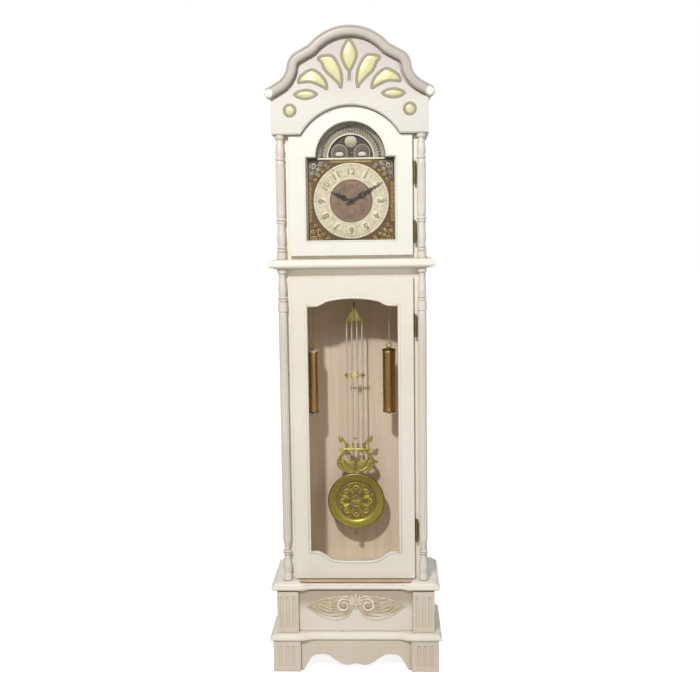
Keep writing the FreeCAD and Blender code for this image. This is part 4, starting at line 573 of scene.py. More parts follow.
bronzeLine = metalFinish("bronze_scrolls", (0.60, 0.42, 0.16), (0.13, 0.075, 0.022), 0.34, 0.9, 2.0,
                         metallic=0.5)
bronzeDark = metalFinish("arch_bronze", (0.04, 0.031, 0.024), (0.015, 0.012, 0.009), 0.5, 0.9, 3.0,
                         relief=0.3, hammer=300.0, cloudScale=40.0, metallic=0.1)
centreBronze = metalFinish("dial_centre", (0.24, 0.163, 0.105), (0.10, 0.065, 0.045), 0.45, 0.8, 2.0,
                           metallic=0.5, relief=0.25, hammer=500.0, cloudScale=60.0)
ivory = metalFinish("ivory_ring", (0.82, 0.78, 0.60), (0.50, 0.43, 0.26), 0.4, 0.9, 3.0, metallic=0.05,
                    cloudScale=60.0)
ivoryPale = metalFinish("ivory_field", (0.74, 0.69, 0.53), (0.44, 0.38, 0.24), 0.42, 0.95, 3.0, metallic=0.05,
                        cloudScale=60.0)
filigree = metalFinish("pale_gold", (0.52, 0.50, 0.43), (0.14, 0.12, 0.08), 0.35, 0.8, 2.0, metallic=0.6)
archGrey = metalFinish("arch_silver", (0.72, 0.68, 0.54), (0.20, 0.17, 0.12), 0.38, 0.8, 2.0, metallic=0.3)
humpGrey = metalFinish("hump_silver", (0.40, 0.36, 0.30), (0.12, 0.10, 0.08), 0.38, 0.8, 2.0, metallic=0.3)
numeralGold = metalFinish("numeral_gold", (0.36, 0.32, 0.22), (0.20, 0.165, 0.10), 0.4, 0.8, 2.0,
                          metallic=0.1)
# the moon ball turns darker towards its lower half: painted shade
moonPaint = metalFinish("moon_ivory", (0.60, 0.555, 0.43), (0.16, 0.13, 0.09), 0.4, 0.5, 2.0, metallic=0.0,
                        cloudScale=70.0, paintedShade=(1.672, 1.646))
ovalHighlightPaint = metalFinish("hump_highlight_paint", (0.74, 0.70, 0.58), (0.40, 0.35, 0.26), 0.4, 0.5, 2.0, metallic=0.0)
brass = metalFinish("brass", (0.60, 0.47, 0.15), (0.20, 0.13, 0.04), 0.24, 0.7, 5.0)
gold = metalFinish("bright_gold", (0.80, 0.72, 0.30), (0.36, 0.28, 0.06), 0.3, 0.7, 3.0, metallic=0.6)
plateGold = metalFinish("hook_plate_brass", (0.76, 0.69, 0.23), (0.22, 0.185, 0.045), 0.34, 0.8, 4.0,
                        metallic=0.6)
olive = metalFinish("pendulum_brass", (0.50, 0.42, 0.09), (0.18, 0.14, 0.03), 0.3, 0.8, 5.0, metallic=0.8)
# the bob rim turns darker towards its top: a painted reflection of the dark case
bobRim = metalFinish("bob_rim", (0.40, 0.325, 0.045), (0.13, 0.095, 0.015), 0.3, 0.7, 5.0, paintedShade=(0.44, 0.60))
bobGround = metalFinish("bob_ground", (0.20, 0.145, 0.02), (0.07, 0.045, 0.008), 0.4, 0.9, 3.0, metallic=0.4)
bobRelief = metalFinish("bob_relief", (0.60, 0.48, 0.08), (0.17, 0.12, 0.012), 0.34, 0.85, 2.0, metallic=0.7)
weightBrass = metalFinish("weight_brass", (0.50, 0.32, 0.11), (0.42, 0.21, 0.085), 0.2, 0.5, 4.0, brushed="z",
                          cloudScale=9.0)
darkBrass = metalFinish("aged_brass", (0.20, 0.165, 0.055), (0.07, 0.05, 0.02), 0.32, 0.7, 5.0)
silver = metalFinish("rod_steel", (0.78, 0.71, 0.66), (0.52, 0.46, 0.43), 0.28, 0.5, 4.0, brushed="z",
                     metallic=0.35)
steel = metalFinish("steel", (0.42, 0.42, 0.41), (0.2, 0.19, 0.18), 0.3, 0.5, 4.0)
blackSteel = metalFinish("black_steel", (0.02, 0.016, 0.013), (0.01, 0.008, 0.007), 0.6, 0.4, 2.0,
                         metallic=0.0)
linePaint = metalFinish("line_wire", (0.80, 0.77, 0.72), (0.5, 0.46, 0.4), 0.45, 0.4, 2.0, metallic=0.2)
print("finishes made")

nodeFinishes = {
    waistDoorPaint: ["waist_door_frame"],
    hoodDoorPaint: ["hood_door_frame"],
    frameUpright: ["waist_face_frame", "hood_face_frame"],
    columnPaint: ["hood_column_left", "hood_column_right", "waist_column_left", "waist_column_right"],
    across: ["hood_moulding", "hood_roof", "upper_ledge", "lower_ledge"],
    pedimentPaint: ["pediment_board"],
    crownPaint: ["crown_moulding"],
    warmUpright: ["front_feet", "plinth_posts"],
    warmAcross: ["apron_front", "base_boards", "plinth_boards"],
    panelPaint: ["plinth_panel"],
    carvingPaint: ["carved_ornament"],
    sidePaint: ["case_sides"],
    lining: ["back_board"],
    liningAcross: ["seat_board"],
    clearGlass: ["waist_door_glass", "hood_door_glass"],
    inlayPaint: ["pediment_inlays"],
    bronze: ["dial_plate", "dial_spandrels"],
    bronzeDark: ["lunar_scale", "moon_disc"],
    ivoryPale: ["chapter_ring"],
    blackSteel: ["minute_hand", "hour_hand"],
    darkBrass: ["waist_door_hinges", "hood_door_hinges", "case_hinges"],
    brass: ["movement_frame", "third_wheel", "escape_wheel", "great_wheel", "motion_wheel", "drum_left",
            "drum_right", "guide_roller_left", "guide_roller_right", "roller_brackets", "pendulum_leader"],
    steel: ["centre_arbor", "anchor", "strike_hammer", "gong_rods"],
    silver: ["pendulum_rods"],
    olive: ["pendulum_lyre", "pendulum_bob"],
    weightBrass: ["weight_left", "weight_right"],
    linePaint: ["line_leads", "weight_line_left", "weight_line_right"],
}
for material, names in nodeFinishes.items():
    for name in names:
        slots = nodes[name].material_slots
        for k in range(len(slots)):
            slots[k].material = material
print("frame finished")


# Turned columns beside the doors

columnStyle = {
    "radius": 14.5,
    "flutes": 14,
    "fluteDepth": 0.10,
    "segments": 112,
    # profiles from the foot up: radii are shares of the radius, heights shares of the column
    "waist": [
        ("steps", (1.0, 0.0), (1.0, 0.014), (0.9, 0.017), (0.9, 0.020)),
        ("vase", 0.72, 1.0, 0.55, 0.020, 0.085),
        ("bead", 0.75, 0.20, 0.085, 0.0905),
        ("bead", 0.75, 0.24, 0.0915, 0.098),
        ("steps", (0.55, 0.098), (0.50, 0.109), (0.66, 0.118), (0.84, 0.126), (0.92, 0.131)),
        ("shaft", 0.92, 0.133, 0.858),
        ("steps", (0.92, 0.860), (0.80, 0.866), (1.0, 0.867), (1.0, 0.894), (0.78, 0.896)),
        ("bead", 0.75, 0.20, 0.899, 0.906),
        ("bead", 0.75, 0.24, 0.907, 0.914),
        ("vase", 0.70, 0.90, 0.62, 0.914, 0.985),
        ("steps", (0.94, 0.987), (1.0, 0.990), (1.0, 1.0)),
    ],
    "waistFlutes": (0.140, 0.852),
    "hood": [
        ("steps", (1.0, 0.0), (1.0, 0.050), (0.8, 0.056)),
        ("bead", 0.78, 0.22, 0.060, 0.082),
        ("bead", 0.78, 0.18, 0.086, 0.105),
        ("vase", 0.72, 0.92, 0.70, 0.109, 0.286),
        ("bead", 0.78, 0.18, 0.290, 0.308),
        ("bead", 0.78, 0.22, 0.312, 0.334),
        ("steps", (0.72, 0.338), (0.84, 0.352), (0.92, 0.366)),
        ("shaft", 0.92, 0.370, 0.765),
        ("steps", (0.92, 0.769), (0.84, 0.784), (0.72, 0.797)),
        ("bead", 0.78, 0.22, 0.799, 0.820),
        ("vase", 0.72, 0.92, 0.68, 0.824, 0.965),
        ("steps", (0.92, 0.968), (1.0, 0.974), (1.0, 1.0)),
    ],
    "hoodFlutes": (0.385, 0.75),
}


def bead(radius, swell, low, high, steps=10):
    line = []
    for k in range(steps + 1):
        angle = math.pi * (k / steps - 0.5)
        line.append((radius + swell * math.cos(angle), (low + high) / 2 + (high - low) / 2 * math.sin(angle)))
    return line


def vase(foot, belly, neck, low, high, bellyShare=0.3, steps=20):
    line = []
    for k in range(steps + 1):
        share = k / steps
        if share < bellyShare:
            radius = foot + (belly - foot) * math.sin(math.pi / 2 * share / bellyShare)
        else:
            fall = (share - bellyShare) / (1 - bellyShare)
            radius = neck + (belly - neck) * (0.5 + 0.5 * math.cos(math.pi * fall))
        line.append((radius, low + (high - low) * share))
    return line


def shaft(radius, low, high, steps=24):
    # straight run in even steps, so that its flutes can stop short of both ends
    return [(radius, low + (high - low) * k / steps) for k in range(steps + 1)]


def turnedColumn(name, kind):
    low, high = nodeBox(name)
    r = columnStyle["radius"]
    forms = {"bead": bead, "vase": vase, "shaft": shaft}

    def level(share):
        return low.z + (high.z - low.z) * share

    profile = []
    for form, *values in columnStyle[kind]:
        if form == "steps":
            profile += [(r * reach, level(share)) for reach, share in values]
        else:
            *radii, foot, head = values
            line = forms[form](*(r * share for share in radii), level(foot), level(head))
            profile += line[1:] if form == "vase" else line
    foot, head = (level(share) for share in columnStyle[kind + "Flutes"])
    flutes = {"low": foot, "high": head, "count": columnStyle["flutes"], "depth": columnStyle["fluteDepth"]}
    spot = middle(name)
    return lathe(profile, (spot.x, spot.y, 0), "z", columnStyle["segments"], flutes)


for side in ("left", "right"):
    for kind in ("waist", "hood"):
        name = kind + "_column_" + side
        makePiece("turned_" + name, [turnedColumn(name, kind)], columnPaint, "case", [name])
print("columns turned")


# Carving on the plinth panel

carving = {
    "ground": nodeBox("plinth_panel")[0].y,
    "middle": 205.0,
    "rise": 5.0,
    "flower": (38, 2, 12.5),
    # points out from and above the middle, greatest half width, share of the rise
    "leaves": [
        ([(9, -9), (30, -33), (68, -40), (112, -28), (161, 1)], 6.0, 1.0),
        ([(22, -14), (48, -27), (84, -28), (118, -15), (146, 4)], 4.6, 0.9),
        ([(64, -12), (84, -16), (108, -7), (128, 8)], 4.0, 0.8),
        ([(62, 6), (76, 22), (92, 25), (104, 17)], 4.2, 1.0),
        ([(74, -2), (92, 12), (110, 18), (124, 12)], 4.0, 0.9),
        ([(92, -6), (110, 2), (128, 9), (143, 9)], 3.4, 0.8),
        ([(50, 24), (62, 30), (74, 26), (80, 20)], 3.2, 0.8),
        ([(60, -4), (76, -9), (96, -3), (112, 3)], 3.2, 0.7),
        ([(84, 27), (100, 23), (116, 17), (134, 9)], 3.4, 0.9),
        ([(56, 16), (66, 10), (70, 1), (66, -6)], 3.0, 0.8),
        ([(96, -18), (116, -12), (132, -4), (150, 2)], 3.0, 0.8),
        ([(20, -22), (36, -28), (54, -33), (70, -34)], 3.0, 0.7),
    ],
    # scroll values, half widths, share of the rise
    "curls": [
        ((38, 2, 27, 8, -95, 1.35, 44), [1.2, 3.4, 3.6, 3.0, 2.2], 1.1),
        ((78, 7, 10, 3, 200, 1.2, 24), [1.2, 2.2, 2.0], 0.8),
        ((104, 6, 8, 3, 200, 1.2, 24), [1.0, 1.8, 1.6], 0.7),
    ],
    "hollow": [(4, -2), (14, 20), (40, 31), (66, 31), (98, 25), (126, 13), (152, -1), (118, -25), (72, -39),
               (34, -33), (12, -14)],
    # angle and reach of each rib
    "shell": [(-62, 24), (-40, 33), (-20, 39), (0, 42), (20, 39), (40, 33), (62, 24)],
}


def carvedLeaf(corners, width, rise, steps=8):
    line = smoothLine(corners, steps)
    return ridge(line, [0.3, width * 0.75, width, width * 0.8, 0.3], rise, carving["ground"], leafSection)


def carvedWing():
    z, rise, ground = carving["middle"], carving["rise"], carving["ground"]
    parts = [carvedLeaf([(x, z + up) for x, up in corners], width, rise * share)
             for corners, width, share in carving["leaves"]]
    for (x, up, *rest), widths, share in carving["curls"]:
        parts.append(ridge(scroll(x, z + up, *rest), widths, rise * share, ground))
    parts.append(ridge(smoothLine([(8, z + 20), (22, z + 30), (38, z + 31), (52, z + 25)], 8),
                       [0.6, 2.4, 2.6, 1.4], rise * 0.8, ground))
    x, up, reach = carving["flower"]
    for k in range(6):
        tip = polar(x, z + up, reach, 60 * k)
        parts.append(ridge([(x, z + up), ((x + tip[0]) / 2, (z + up + tip[1]) / 2), tip], [0.8, 3.6, 0.6],
                           rise * 0.9, ground, leafSection))
    parts.append(lathe([(0, -rise * 1.25), (2.4, -rise * 1.05), (3.4, -rise * 0.5), (3.4, 0.3)],
                       (x, ground, z + up), "y", 20))
    return parts


def carvedShell():
    z = carving["middle"]
    parts = []
    for degrees, reach in carving["shell"]:
        tip = polar(0, z, reach, degrees)
        root = (polar(0, z, 4, degrees)[0], z + 3)
        parts.append(ridge(smoothLine([root, ((root[0] + tip[0]) * 0.55, (root[1] + tip[1]) / 2), tip], 6),
                           [1.0, 3.6, 4.8, 1.6], carving["rise"], carving["ground"], leafSection))
    parts.append(carvedLeaf([(0, z + 4), (0, z - 4), (0, z - 13)], 4.2, carving["rise"]))
    parts.append(lathe([(0, -carving["rise"] * 1.3), (3, -carving["rise"] * 1.1), (4.4, -1), (4.4, 0.3)],
                       (0, carving["ground"], z + 3), "y", 20))
    return parts


def carvedGround():
    # dark ground between the leaves, partly glazing and partly painted shade in the hollows
    z, ground = carving["middle"], carving["ground"]
    line = smoothLine([(x, z + up) for x, up in carving["hollow"]], 6, closed=True)
    return [plate([line], ground - 0.7, ground + 1.0, 0.3)]


makePiece("carved_leafwork", bothSides(carvedWing()), carvingPaint, "case", ["carved_ornament"])
makePiece("carved_shell", carvedShell(), shellPaint, "case")
makePiece("carved_hollows", bothSides(carvedGround()), hollowGlazeAndShade, "case")
print("carving cut")


# Crown of the pediment

crown = {
    "top": nodeBox("crown_moulding")[1].z,
    "front": nodeBox("crown_moulding")[0].y,
    "board": nodeBox("pediment_board")[0].y,
    "back": nodeBox("pediment_board")[0].y + 28.0,
    "side": nodeBox("case_sides")[1].x,
    "rear": nodeBox("case_sides")[1].y,
    "arch": (160.0, 47.5),
    "dip": (30.0, 28.0),
    "run": 38.0,
    "knee": (52.0, 84.0),
    "sweep": (62.0, 30.0),
    "horn": 42.0,
    "band": 30.0,
    "endInset": 4.0,
    "shadowLineInset": 1.8,
    "shadowLineWidths": [4.0, 3.4, 3.0, 2.8, 3.0, 3.4, 4.0],
    "shadowLineRise": 0.5,
    "section": [(0.0, 0.20), (0.02, 0.10), (0.06, 0.03), (0.11, 0.0), (0.16, 0.02), (0.19, 0.07),
                (0.24, 0.10), (0.36, 0.085), (0.50, 0.08), (0.64, 0.08), (0.78, 0.09), (0.89, 0.12),
                (0.95, 0.20), (0.98, 0.38), (0.99, 0.7), (1.0, 1.0)],
}


def crownLine(inset):
    # right half of the outline, from the middle to the horn; each arc ends at its own slope
    archRadius, archEnd = crown["arch"]
    dipRadius, dipEnd = crown["dip"]
    kneeRadius, kneeEnd = crown["knee"]
    sweepRadius, sweepEnd = crown["sweep"]
    spot = (0.0, crown["top"] - archRadius)
    line = arc(*spot, archRadius - inset, 0, archEnd, 26)
    spot = polar(*spot, archRadius + dipRadius, archEnd)
    line += arc(*spot, dipRadius + inset, 180 + archEnd, 180 + dipEnd, 6)
    spot = polar(*spot, -dipRadius - kneeRadius, dipEnd)
    spot = polar(*spot, crown["run"], dipEnd + 90)
    line += arc(*spot, kneeRadius - inset, dipEnd, kneeEnd, 14)
    spot = polar(*spot, kneeRadius + sweepRadius, kneeEnd)
    line += arc(*spot, sweepRadius + inset, 180 + kneeEnd, 180 + sweepEnd, 12)
    line.append(polar(*line[-1], crown["horn"], sweepEnd + 90))
    return line


def crownSection():
    # steps from the front edge to the board: (inset, depth behind the front)
    reach, band = crown["board"] - crown["front"], crown["band"]
    steps = [(0.0, crown["back"] - crown["front"])]
    steps += [(band * inset, reach * depth) for inset, depth in crown["section"]]
    steps.append((band, crown["back"] - crown["front"]))
    return steps


def wholeLine(right):
    # both halves of a line that starts in the middle
    return [(-x, z) for x, z in reversed(right[1:])] + right


def crownSweep():
    points, faces = [], []
    rows = crownSection()
    for inset, depth in rows:
        points += [(x, crown["front"] + depth, z) for x, z in wholeLine(crownLine(inset))]
    size = len(points) // len(rows)
    for k in range(len(rows)):
        here, there = k * size, (k + 1) % len(rows) * size
        faces += [(here + j, here + j + 1, there + j + 1, there + j) for j in range(size - 1)]
    for end in (0, size - 1):
        faces.append(tuple(k * size + end for k in range(len(rows))))
    return points, faces


def crownReturn():
    # moulding along the side of the case, behind the horn
    inner, outer = crownLine(crown["band"])[-1], crownLine(0)[-1]
    loop = [(crown["side"], inner[1]), inner, outer, (crown["side"], outer[1])]
    return plate([loop], crown["back"], crown["rear"], 0.6)


makePiece("crown_cove", [crownSweep()] + bothSides([crownReturn()]), crownPaint, "case",
          ["crown_moulding"], crease=50)
# dark line along the inner edge of the crown: painted shadow
crownEdge = crownLine(crown["band"] + crown["shadowLineInset"])
crownEdge[-1] = tuple(0.25 * a + 0.75 * b for a, b in zip(crownEdge[-2], crownEdge[-1]))
makePiece("crown_shadow_line",
          [ridge(wholeLine(crownEdge), crown["shadowLineWidths"], crown["shadowLineRise"], crown["board"])],
          crownShadowPaint, "case")


def hornEnd():
    # rounded end of the moulding
    inner, outer = crownLine(crown["band"])[-1], crownLine(0)[-1]
    slope = math.radians(crown["sweep"][1])
    x = (inner[0] + outer[0]) / 2 - crown["endInset"] * math.cos(slope)
    z = (inner[1] + outer[1]) / 2 + crown["endInset"] * math.sin(slope)
    depth = crown["back"] - crown["front"]
    r = crown["band"] / 2 - 0.3
    profile = [(0, 0.4), (0.5 * r, 0.7), (0.78 * r, 1.8), (0.92 * r, 4.0), (0.98 * r, 7.0), (r, 11.0),
               (r, depth), (0, depth)]
    return lathe(profile, (x, crown["front"], z), "y", 48)


makePiece("crown_horn_ends", bothSides([hornEnd()]), hornWhite, "case")


pediment = {"archRadius": 175.5, "archHalf": 141.0, "step": 15.0, "shoulder": 152.0, "end": 236.0}


def pedimentArch(out):
    # lower edge of the pediment board over the door, from right to left
    level = nodeBox("pediment_board")[0].z
    radius, half = pediment["archRadius"], pediment["archHalf"]
    centre = level + pediment["step"] - math.sqrt(radius ** 2 - half ** 2)
    lean = math.degrees(math.asin(half / radius))
    right = [(pediment["end"], level + out), (pediment["shoulder"] - out / 2, level + out)]
    line = arc(0, centre, radius + out, lean, -lean, 60)
    return right + line + [(-x, z) for x, z in reversed(right)]


sill = {"half": 186.0, "front": -118.0, "rise": 0.25}


def sillGlaze():
    # painted shade: a dark sheet on the ledge under the waist door
    top, back = nodeBox("upper_ledge")[1].z, nodeBox("waist_face_frame")[0].y
    x, y, z = sill["half"], sill["front"], top + sill["rise"]
    points = [(-x, back, z), (x, back, z), (x - 12, y, z), (-x + 12, y, z)]
    points += [(px, py, top - 0.5) for px, py, _ in points]
    return points, [(0, 3, 2, 1), (4, 5, 6, 7), (0, 1, 5, 4), (1, 2, 6, 5), (2, 3, 7, 6), (3, 0, 4, 7)]


makePiece("sill_painted_shade", [sillGlaze()], hollowGlazeAndShade, "case")
# dark line under the lower edge of the pediment board: painted shade of the gap over the hood door
makePiece("pediment_gap_shade_line", [ridge(pedimentArch(2.4), [1.7, 1.7], 0.5, crown["board"])], gapShadePaint,
          "case")
print("crown run")


# Pediment inlays with dark outlines, painted shade of the grooves round them

inlay = {
    "level": nodeBox("pediment_board")[0].z,
    "face": nodeBox("pediment_board")[0].y,
    "proud": 1.0,
    "sunk": 3.0,
    "disc": (182.0, 72.0, 16.0),
    "eye": (133.0, 119.0, 34.0, 12.0),
    "outerPetal": [(68, 134), (72, 156), (91, 180), (115, 191), (146, 173), (154, 154), (119, 157),
                   (88, 145)],
    "innerPetal": [(26, 137), (23, 163), (30, 197), (53, 231), (91, 227), (82, 213), (72, 190), (53, 171),
                   (34, 152)],
    "leaf": [(0, 281), (12, 264), (21, 242), (20, 224), (12, 205), (4, 191), (0, 187)],
    "line": 5.0,
    "lineRise": 1.8,
    "stemRise": 1.3,
    "stems": [
        ([(0, 158), (0, 175), (0, 192)], [4.8, 5.4, 5.8]),
        ([(26, 136), (25, 148), (25, 160)], [2.8, 3.6, 2.6]),
        ([(68, 133), (70, 143), (73, 154)], [2.8, 3.6, 2.4]),
    ],
    "root": [(-10, 154), (10, 154), (11, 196), (-11, 196)],
}


def petalOutline(corners):
    # two smooth sides that meet in a point at each end
    tip = len(corners) // 2 + 1
    first = smoothLine(corners[:tip + 1], 6)
    second = smoothLine(corners[tip:] + corners[:1], 6)
    return first[:-1] + second[:-1]


def inlayOutlines():
    level = inlay["level"]
    x, z, radius = inlay["disc"]
    right = [circle(x, level + z, radius)]
    x, z, half, lift = inlay["eye"]
    reach = (half * half + lift * lift) / (2 * lift)
    span = math.degrees(math.asin(half / reach))
    right.append(arc(x, level + z + lift - reach, reach, -span, span, 14)[:-1]
                 + arc(x, level + z - lift + reach, reach, 180 - span, 180 + span, 14)[:-1])
    for petal in (inlay["outerPetal"], inlay["innerPetal"]):
        right.append(petalOutline([(px, level + pz) for px, pz in petal]))
    outlines = right + [[(-px, pz) for px, pz in reversed(loop)] for loop in right]
    side = smoothLine([(px, level + pz) for px, pz in inlay["leaf"]], 6)
    outlines.append(side[:-1] + [(-px, pz) for px, pz in reversed(side)][:-1])
    return outlines


outlines = inlayOutlines()
front = inlay["face"] - inlay["proud"]
makePiece("inlay_leaves", [plate([loop], front, inlay["face"] + inlay["sunk"], 0.8) for loop in outlines],
          inlayPaint, "case", ["pediment_inlays"])
# dark ridges round the inlays: painted shade of the grooves; the stems take the same dark tone
edges = [ridge(loop, [inlay["line"]] * 2, inlay["lineRise"], inlay["face"], closed=True) for loop in outlines]
for corners, widths in inlay["stems"]:
    line = [(x, inlay["level"] + z) for x, z in corners]
    edges.append(ridge(line, widths, inlay["stemRise"], inlay["face"]))
    if corners[0][0]:
        edges.append(mirrored([edges[-1]])[0])
makePiece("inlay_edges", edges, inlayGrooveShade, "case")
patch = [(x, inlay["level"] + z) for x, z in inlay["root"]]
makePiece("leaf_root", [plate([patch], inlay["face"] - 0.05, inlay["face"] + inlay["sunk"], 0.02)],
          pedimentPaint, "case")
print("pediment inlaid")


# Beads round the door windows

waistWindow = {
    "half": 140.0,
    "lowShoulder": 378.0,
    "lowDrop": 31.0,
    "highShoulder": 1156.0,
    "highRise": 24.0,
    "topShares": [(0.81, 0.0), (0.69, 0.26), (0.58, 0.60), (0.29, 0.90), (0.0, 1.0)],
    "lowShares": [(0.81, 0.0), (0.67, 0.39), (0.52, 0.80), (0.29, 0.985), (0.0, 1.0)],
    "bead": 4.2,
    "rise": 3.2,
    "face": nodeBox("waist_door_frame")[0].y,
}


def waveLine(half, level, rise, shares):
    right = [(half * x, level + rise * z) for x, z in shares]
    return smoothLine(right + [(-x, z) for x, z in reversed(right[:-1])], 6)


def waistWindowLine(out):
    style = waistWindow
    half = style["half"] + out
    top = waveLine(style["half"], style["highShoulder"] + out, style["highRise"], style["topShares"])
    low = waveLine(style["half"], style["lowShoulder"] - out, -style["lowDrop"], style["lowShares"])
    corners = [(half, style["highShoulder"] + out)] + top + [(-half, style["highShoulder"] + out)]
    corners += [(-half, style["lowShoulder"] - out)] + low[::-1] + [(half, style["lowShoulder"] - out)]
    return corners


def windowBead(name, outline, style, material, body):
    line = outline(style["bead"])
    bar = ridge(line, [style["bead"]] * 2, style["rise"], style["face"], closed=True)
    makePiece(name, [bar], material, body, crease=60)


windowBead("waist_window_bead", waistWindowLine, waistWindow, waistDoorPaint, "waist_door")

hoodWindow = {
    "half": 137.5,
    "low": nodeBox("hood_door_frame")[0].z + 47.0,
    "shoulder": 1614.0,
    "arch": 107.0,
    "bead": 2.6,
    "rise": 2.2,
    "face": nodeBox("hood_door_frame")[0].y,
}


def hoodWindowLine(out):
    style = hoodWindow
    half, level = style["half"] + out, style["shoulder"] + out
    radius = style["arch"] + out
    lean = math.degrees(math.acos(out / radius))
    arch = arc(0, style["shoulder"], radius, lean, -lean, 60)
    return [(half, style["low"] - out), (half, level)] + arch + [(-half, level), (-half, style["low"] - out)]


windowBead("hood_window_bead", hoodWindowLine, hoodWindow, hoodDoorPaint, "hood_door")
print("window beads run")


# Dial

dial = {
    "z": middle("chapter_ring").z,
    "face": nodeBox("chapter_ring")[0].y,
    "plate": nodeBox("chapter_ring")[1].y,
    "outer": 117.0,
    "inner": 66.0,
    "numeralRadius": 90.5,
    "numeralSize": 30.0,
    "cartouche": (14.6, 16.6),
    "rims": [(113.6, 3.2, 1.8), (107.4, 0.7, 0.8), (68.6, 2.0, 1.6)],
    "archZ": nodeBox("lunar_scale")[0].z + 6.0,
}


def chapterDetails():
    z, face = dial["z"], dial["face"]
    marks = []
    for hour in range(1, 13):
        word = numeral(str(hour), dial["numeralSize"], -1.7, 0.1)
        spot = polar(0, z, dial["numeralRadius"], 30 * hour)
        marks.append(turn(setBack(word, face), *spot, math.radians(30 * hour)))
    for minute in range(60):
        big = minute % 5 == 0
        inner, outer = (107.5, 114.5) if big else (109.5, 113.5)
        line = [polar(0, z, r, 6 * minute) for r in (inner, (inner + outer) / 2, outer)]
        marks.append(ridge(line, [1.2, 1.2] if big else [0.4, 0.4], 2.1, face, flatSection))
    return marks


def chapterRims():
    return [raisedRing(dial["z"], radius, width, rise, dial["face"], 120)
            for radius, width, rise in dial["rims"]]


def cartouche(hour):
    # raised shell round one numeral: an oval rim, its flat field and four curls
    face = dial["face"]
    half, rise = dial["cartouche"]
    oval = [(half * math.sin(a), rise * math.cos(a)) for a in (2 * math.pi * k / 36 for k in range(36))]
    parts = [ridge(oval, [2.0, 2.0], 2.0, face, closed=True), plate([oval], face - 0.5, face + 0.2, 0.1)]
    for bend in (-1, 1):
        parts.append(ridge(scroll(bend * 20.0, 9.5, 5.6, 1.4, 180, 1.1 * bend, 20), [0.8, 2.0, 1.4], 1.9,
                           face))
        parts.append(ridge(scroll(bend * 17.0, -11.5, 4.0, 1.2, 0, -bend, 18), [0.8, 1.6, 1.2], 2.0, face))
    spot = polar(0, dial["z"], dial["numeralRadius"] - 2.0, 30 * hour)
    return [turn(part, *spot, math.radians(30 * hour)) for part in parts]


def centreDetails():
    # turned and engraved middle of the dial
    z, ground = dial["z"], dial["plate"]
    parts = [raisedRing(z, radius, width, 0.8, ground) for radius, width in ((64.0, 1.2), (20.0, 0.8))]
    for k in range(8):
        base = 45 * k
        for bend in (-1, 1):
            line = scroll(*polar(0, z, 42, base), 13.0, 2.2, base + 180 + 25 * bend, bend, 26)
            parts.append(ridge(line, [0.6, 1.5, 1.1], 1.0, ground))
        leaf = [polar(0, z, r, base + 22.5) for r in (24, 34, 46, 58)]
        parts.append(ridge(smoothLine(leaf, 5), [0.4, 2.6, 3.0, 0.4], 1.0, ground, leafSection))
    return parts


makePiece("dial_centre_plate", [lathe([(5.2, -0.4), (65.6, -0.4), (65.6, 0.1), (5.2, 0.1), (5.2, -0.4)],
                                      (0, dial["plate"], dial["z"]), "y", 96)], centreBronze, "case")
makePiece("dial_centre_scrolls", [setBack(p, -0.3) for p in centreDetails()], centreBronze, "case")
makePiece("chapter_numerals", chapterDetails(), numeralGold, "case")
makePiece("chapter_rims", chapterRims(), ivory, "case")
makePiece("chapter_cartouches", [part for hour in range(12) for part in cartouche(hour)], ivory, "case")
print("chapter ring engraved")

spandrel = {"half": 131.5, "top": 124.5, "drop": 131.5, "ground": dial["face"], "rise": 2.2}


def cornerScrolls(sideSign, rise, toward):
    # filigree that fills one corner, drawn from the corner inwards
    def spot(a, b):
        return sideSign * (spandrel["half"] - a), dial["z"] + rise - toward * b

    def mapped(line):
        return [spot(a, b) for a, b in line]

    parts = []
    ground, lift = spandrel["ground"], spandrel["rise"]
    runs = [
        (scroll(15, 15, 11.5, 2.2, 225, 1.4, 34), [1.0, 2.8, 2.2]),
        (scroll(38, 9.5, 7.5, 1.8, 250, 1.3, 26), [0.8, 2.2, 1.6]),
        (scroll(9.5, 38, 7.5, 1.8, 200, -1.3, 26), [0.8, 2.2, 1.6]),
        (scroll(31, 27, 7.0, 1.8, 40, 1.2, 24), [0.8, 2.2, 1.6]),
        (scroll(26, 41, 6.0, 1.6, 300, -1.2, 24), [0.8, 2.0, 1.4]),
        (scroll(54, 14, 5.5, 1.6, 60, 1.2, 24), [0.8, 1.9, 1.3]),
        (smoothLine([(5, 5), (22, 3.5), (44, 4), (57, 3.5)], 7), [1.4, 1.2, 1.0, 0.5]),
        (smoothLine([(5, 5), (3.5, 22), (4, 44), (3.5, 57)], 7), [1.4, 1.2, 1.0, 0.5]),
    ]
    for line, widths in runs:
        parts.append(ridge(mapped(line), widths, lift, ground))
    for corners in ([(22, 22), (27, 30), (28, 37)], [(22, 22), (30, 27), (37, 28)],
                    [(46, 12), (52, 10), (60, 4.5)], [(12, 46), (10, 52), (4.5, 60)],
                    [(24, 12), (30, 15), (34, 20)], [(12, 24), (15, 30), (20, 34)]):
        parts.append(ridge(mapped(smoothLine(corners, 6)), [0.4, 2.4, 0.4], lift, ground, leafSection))
    return parts


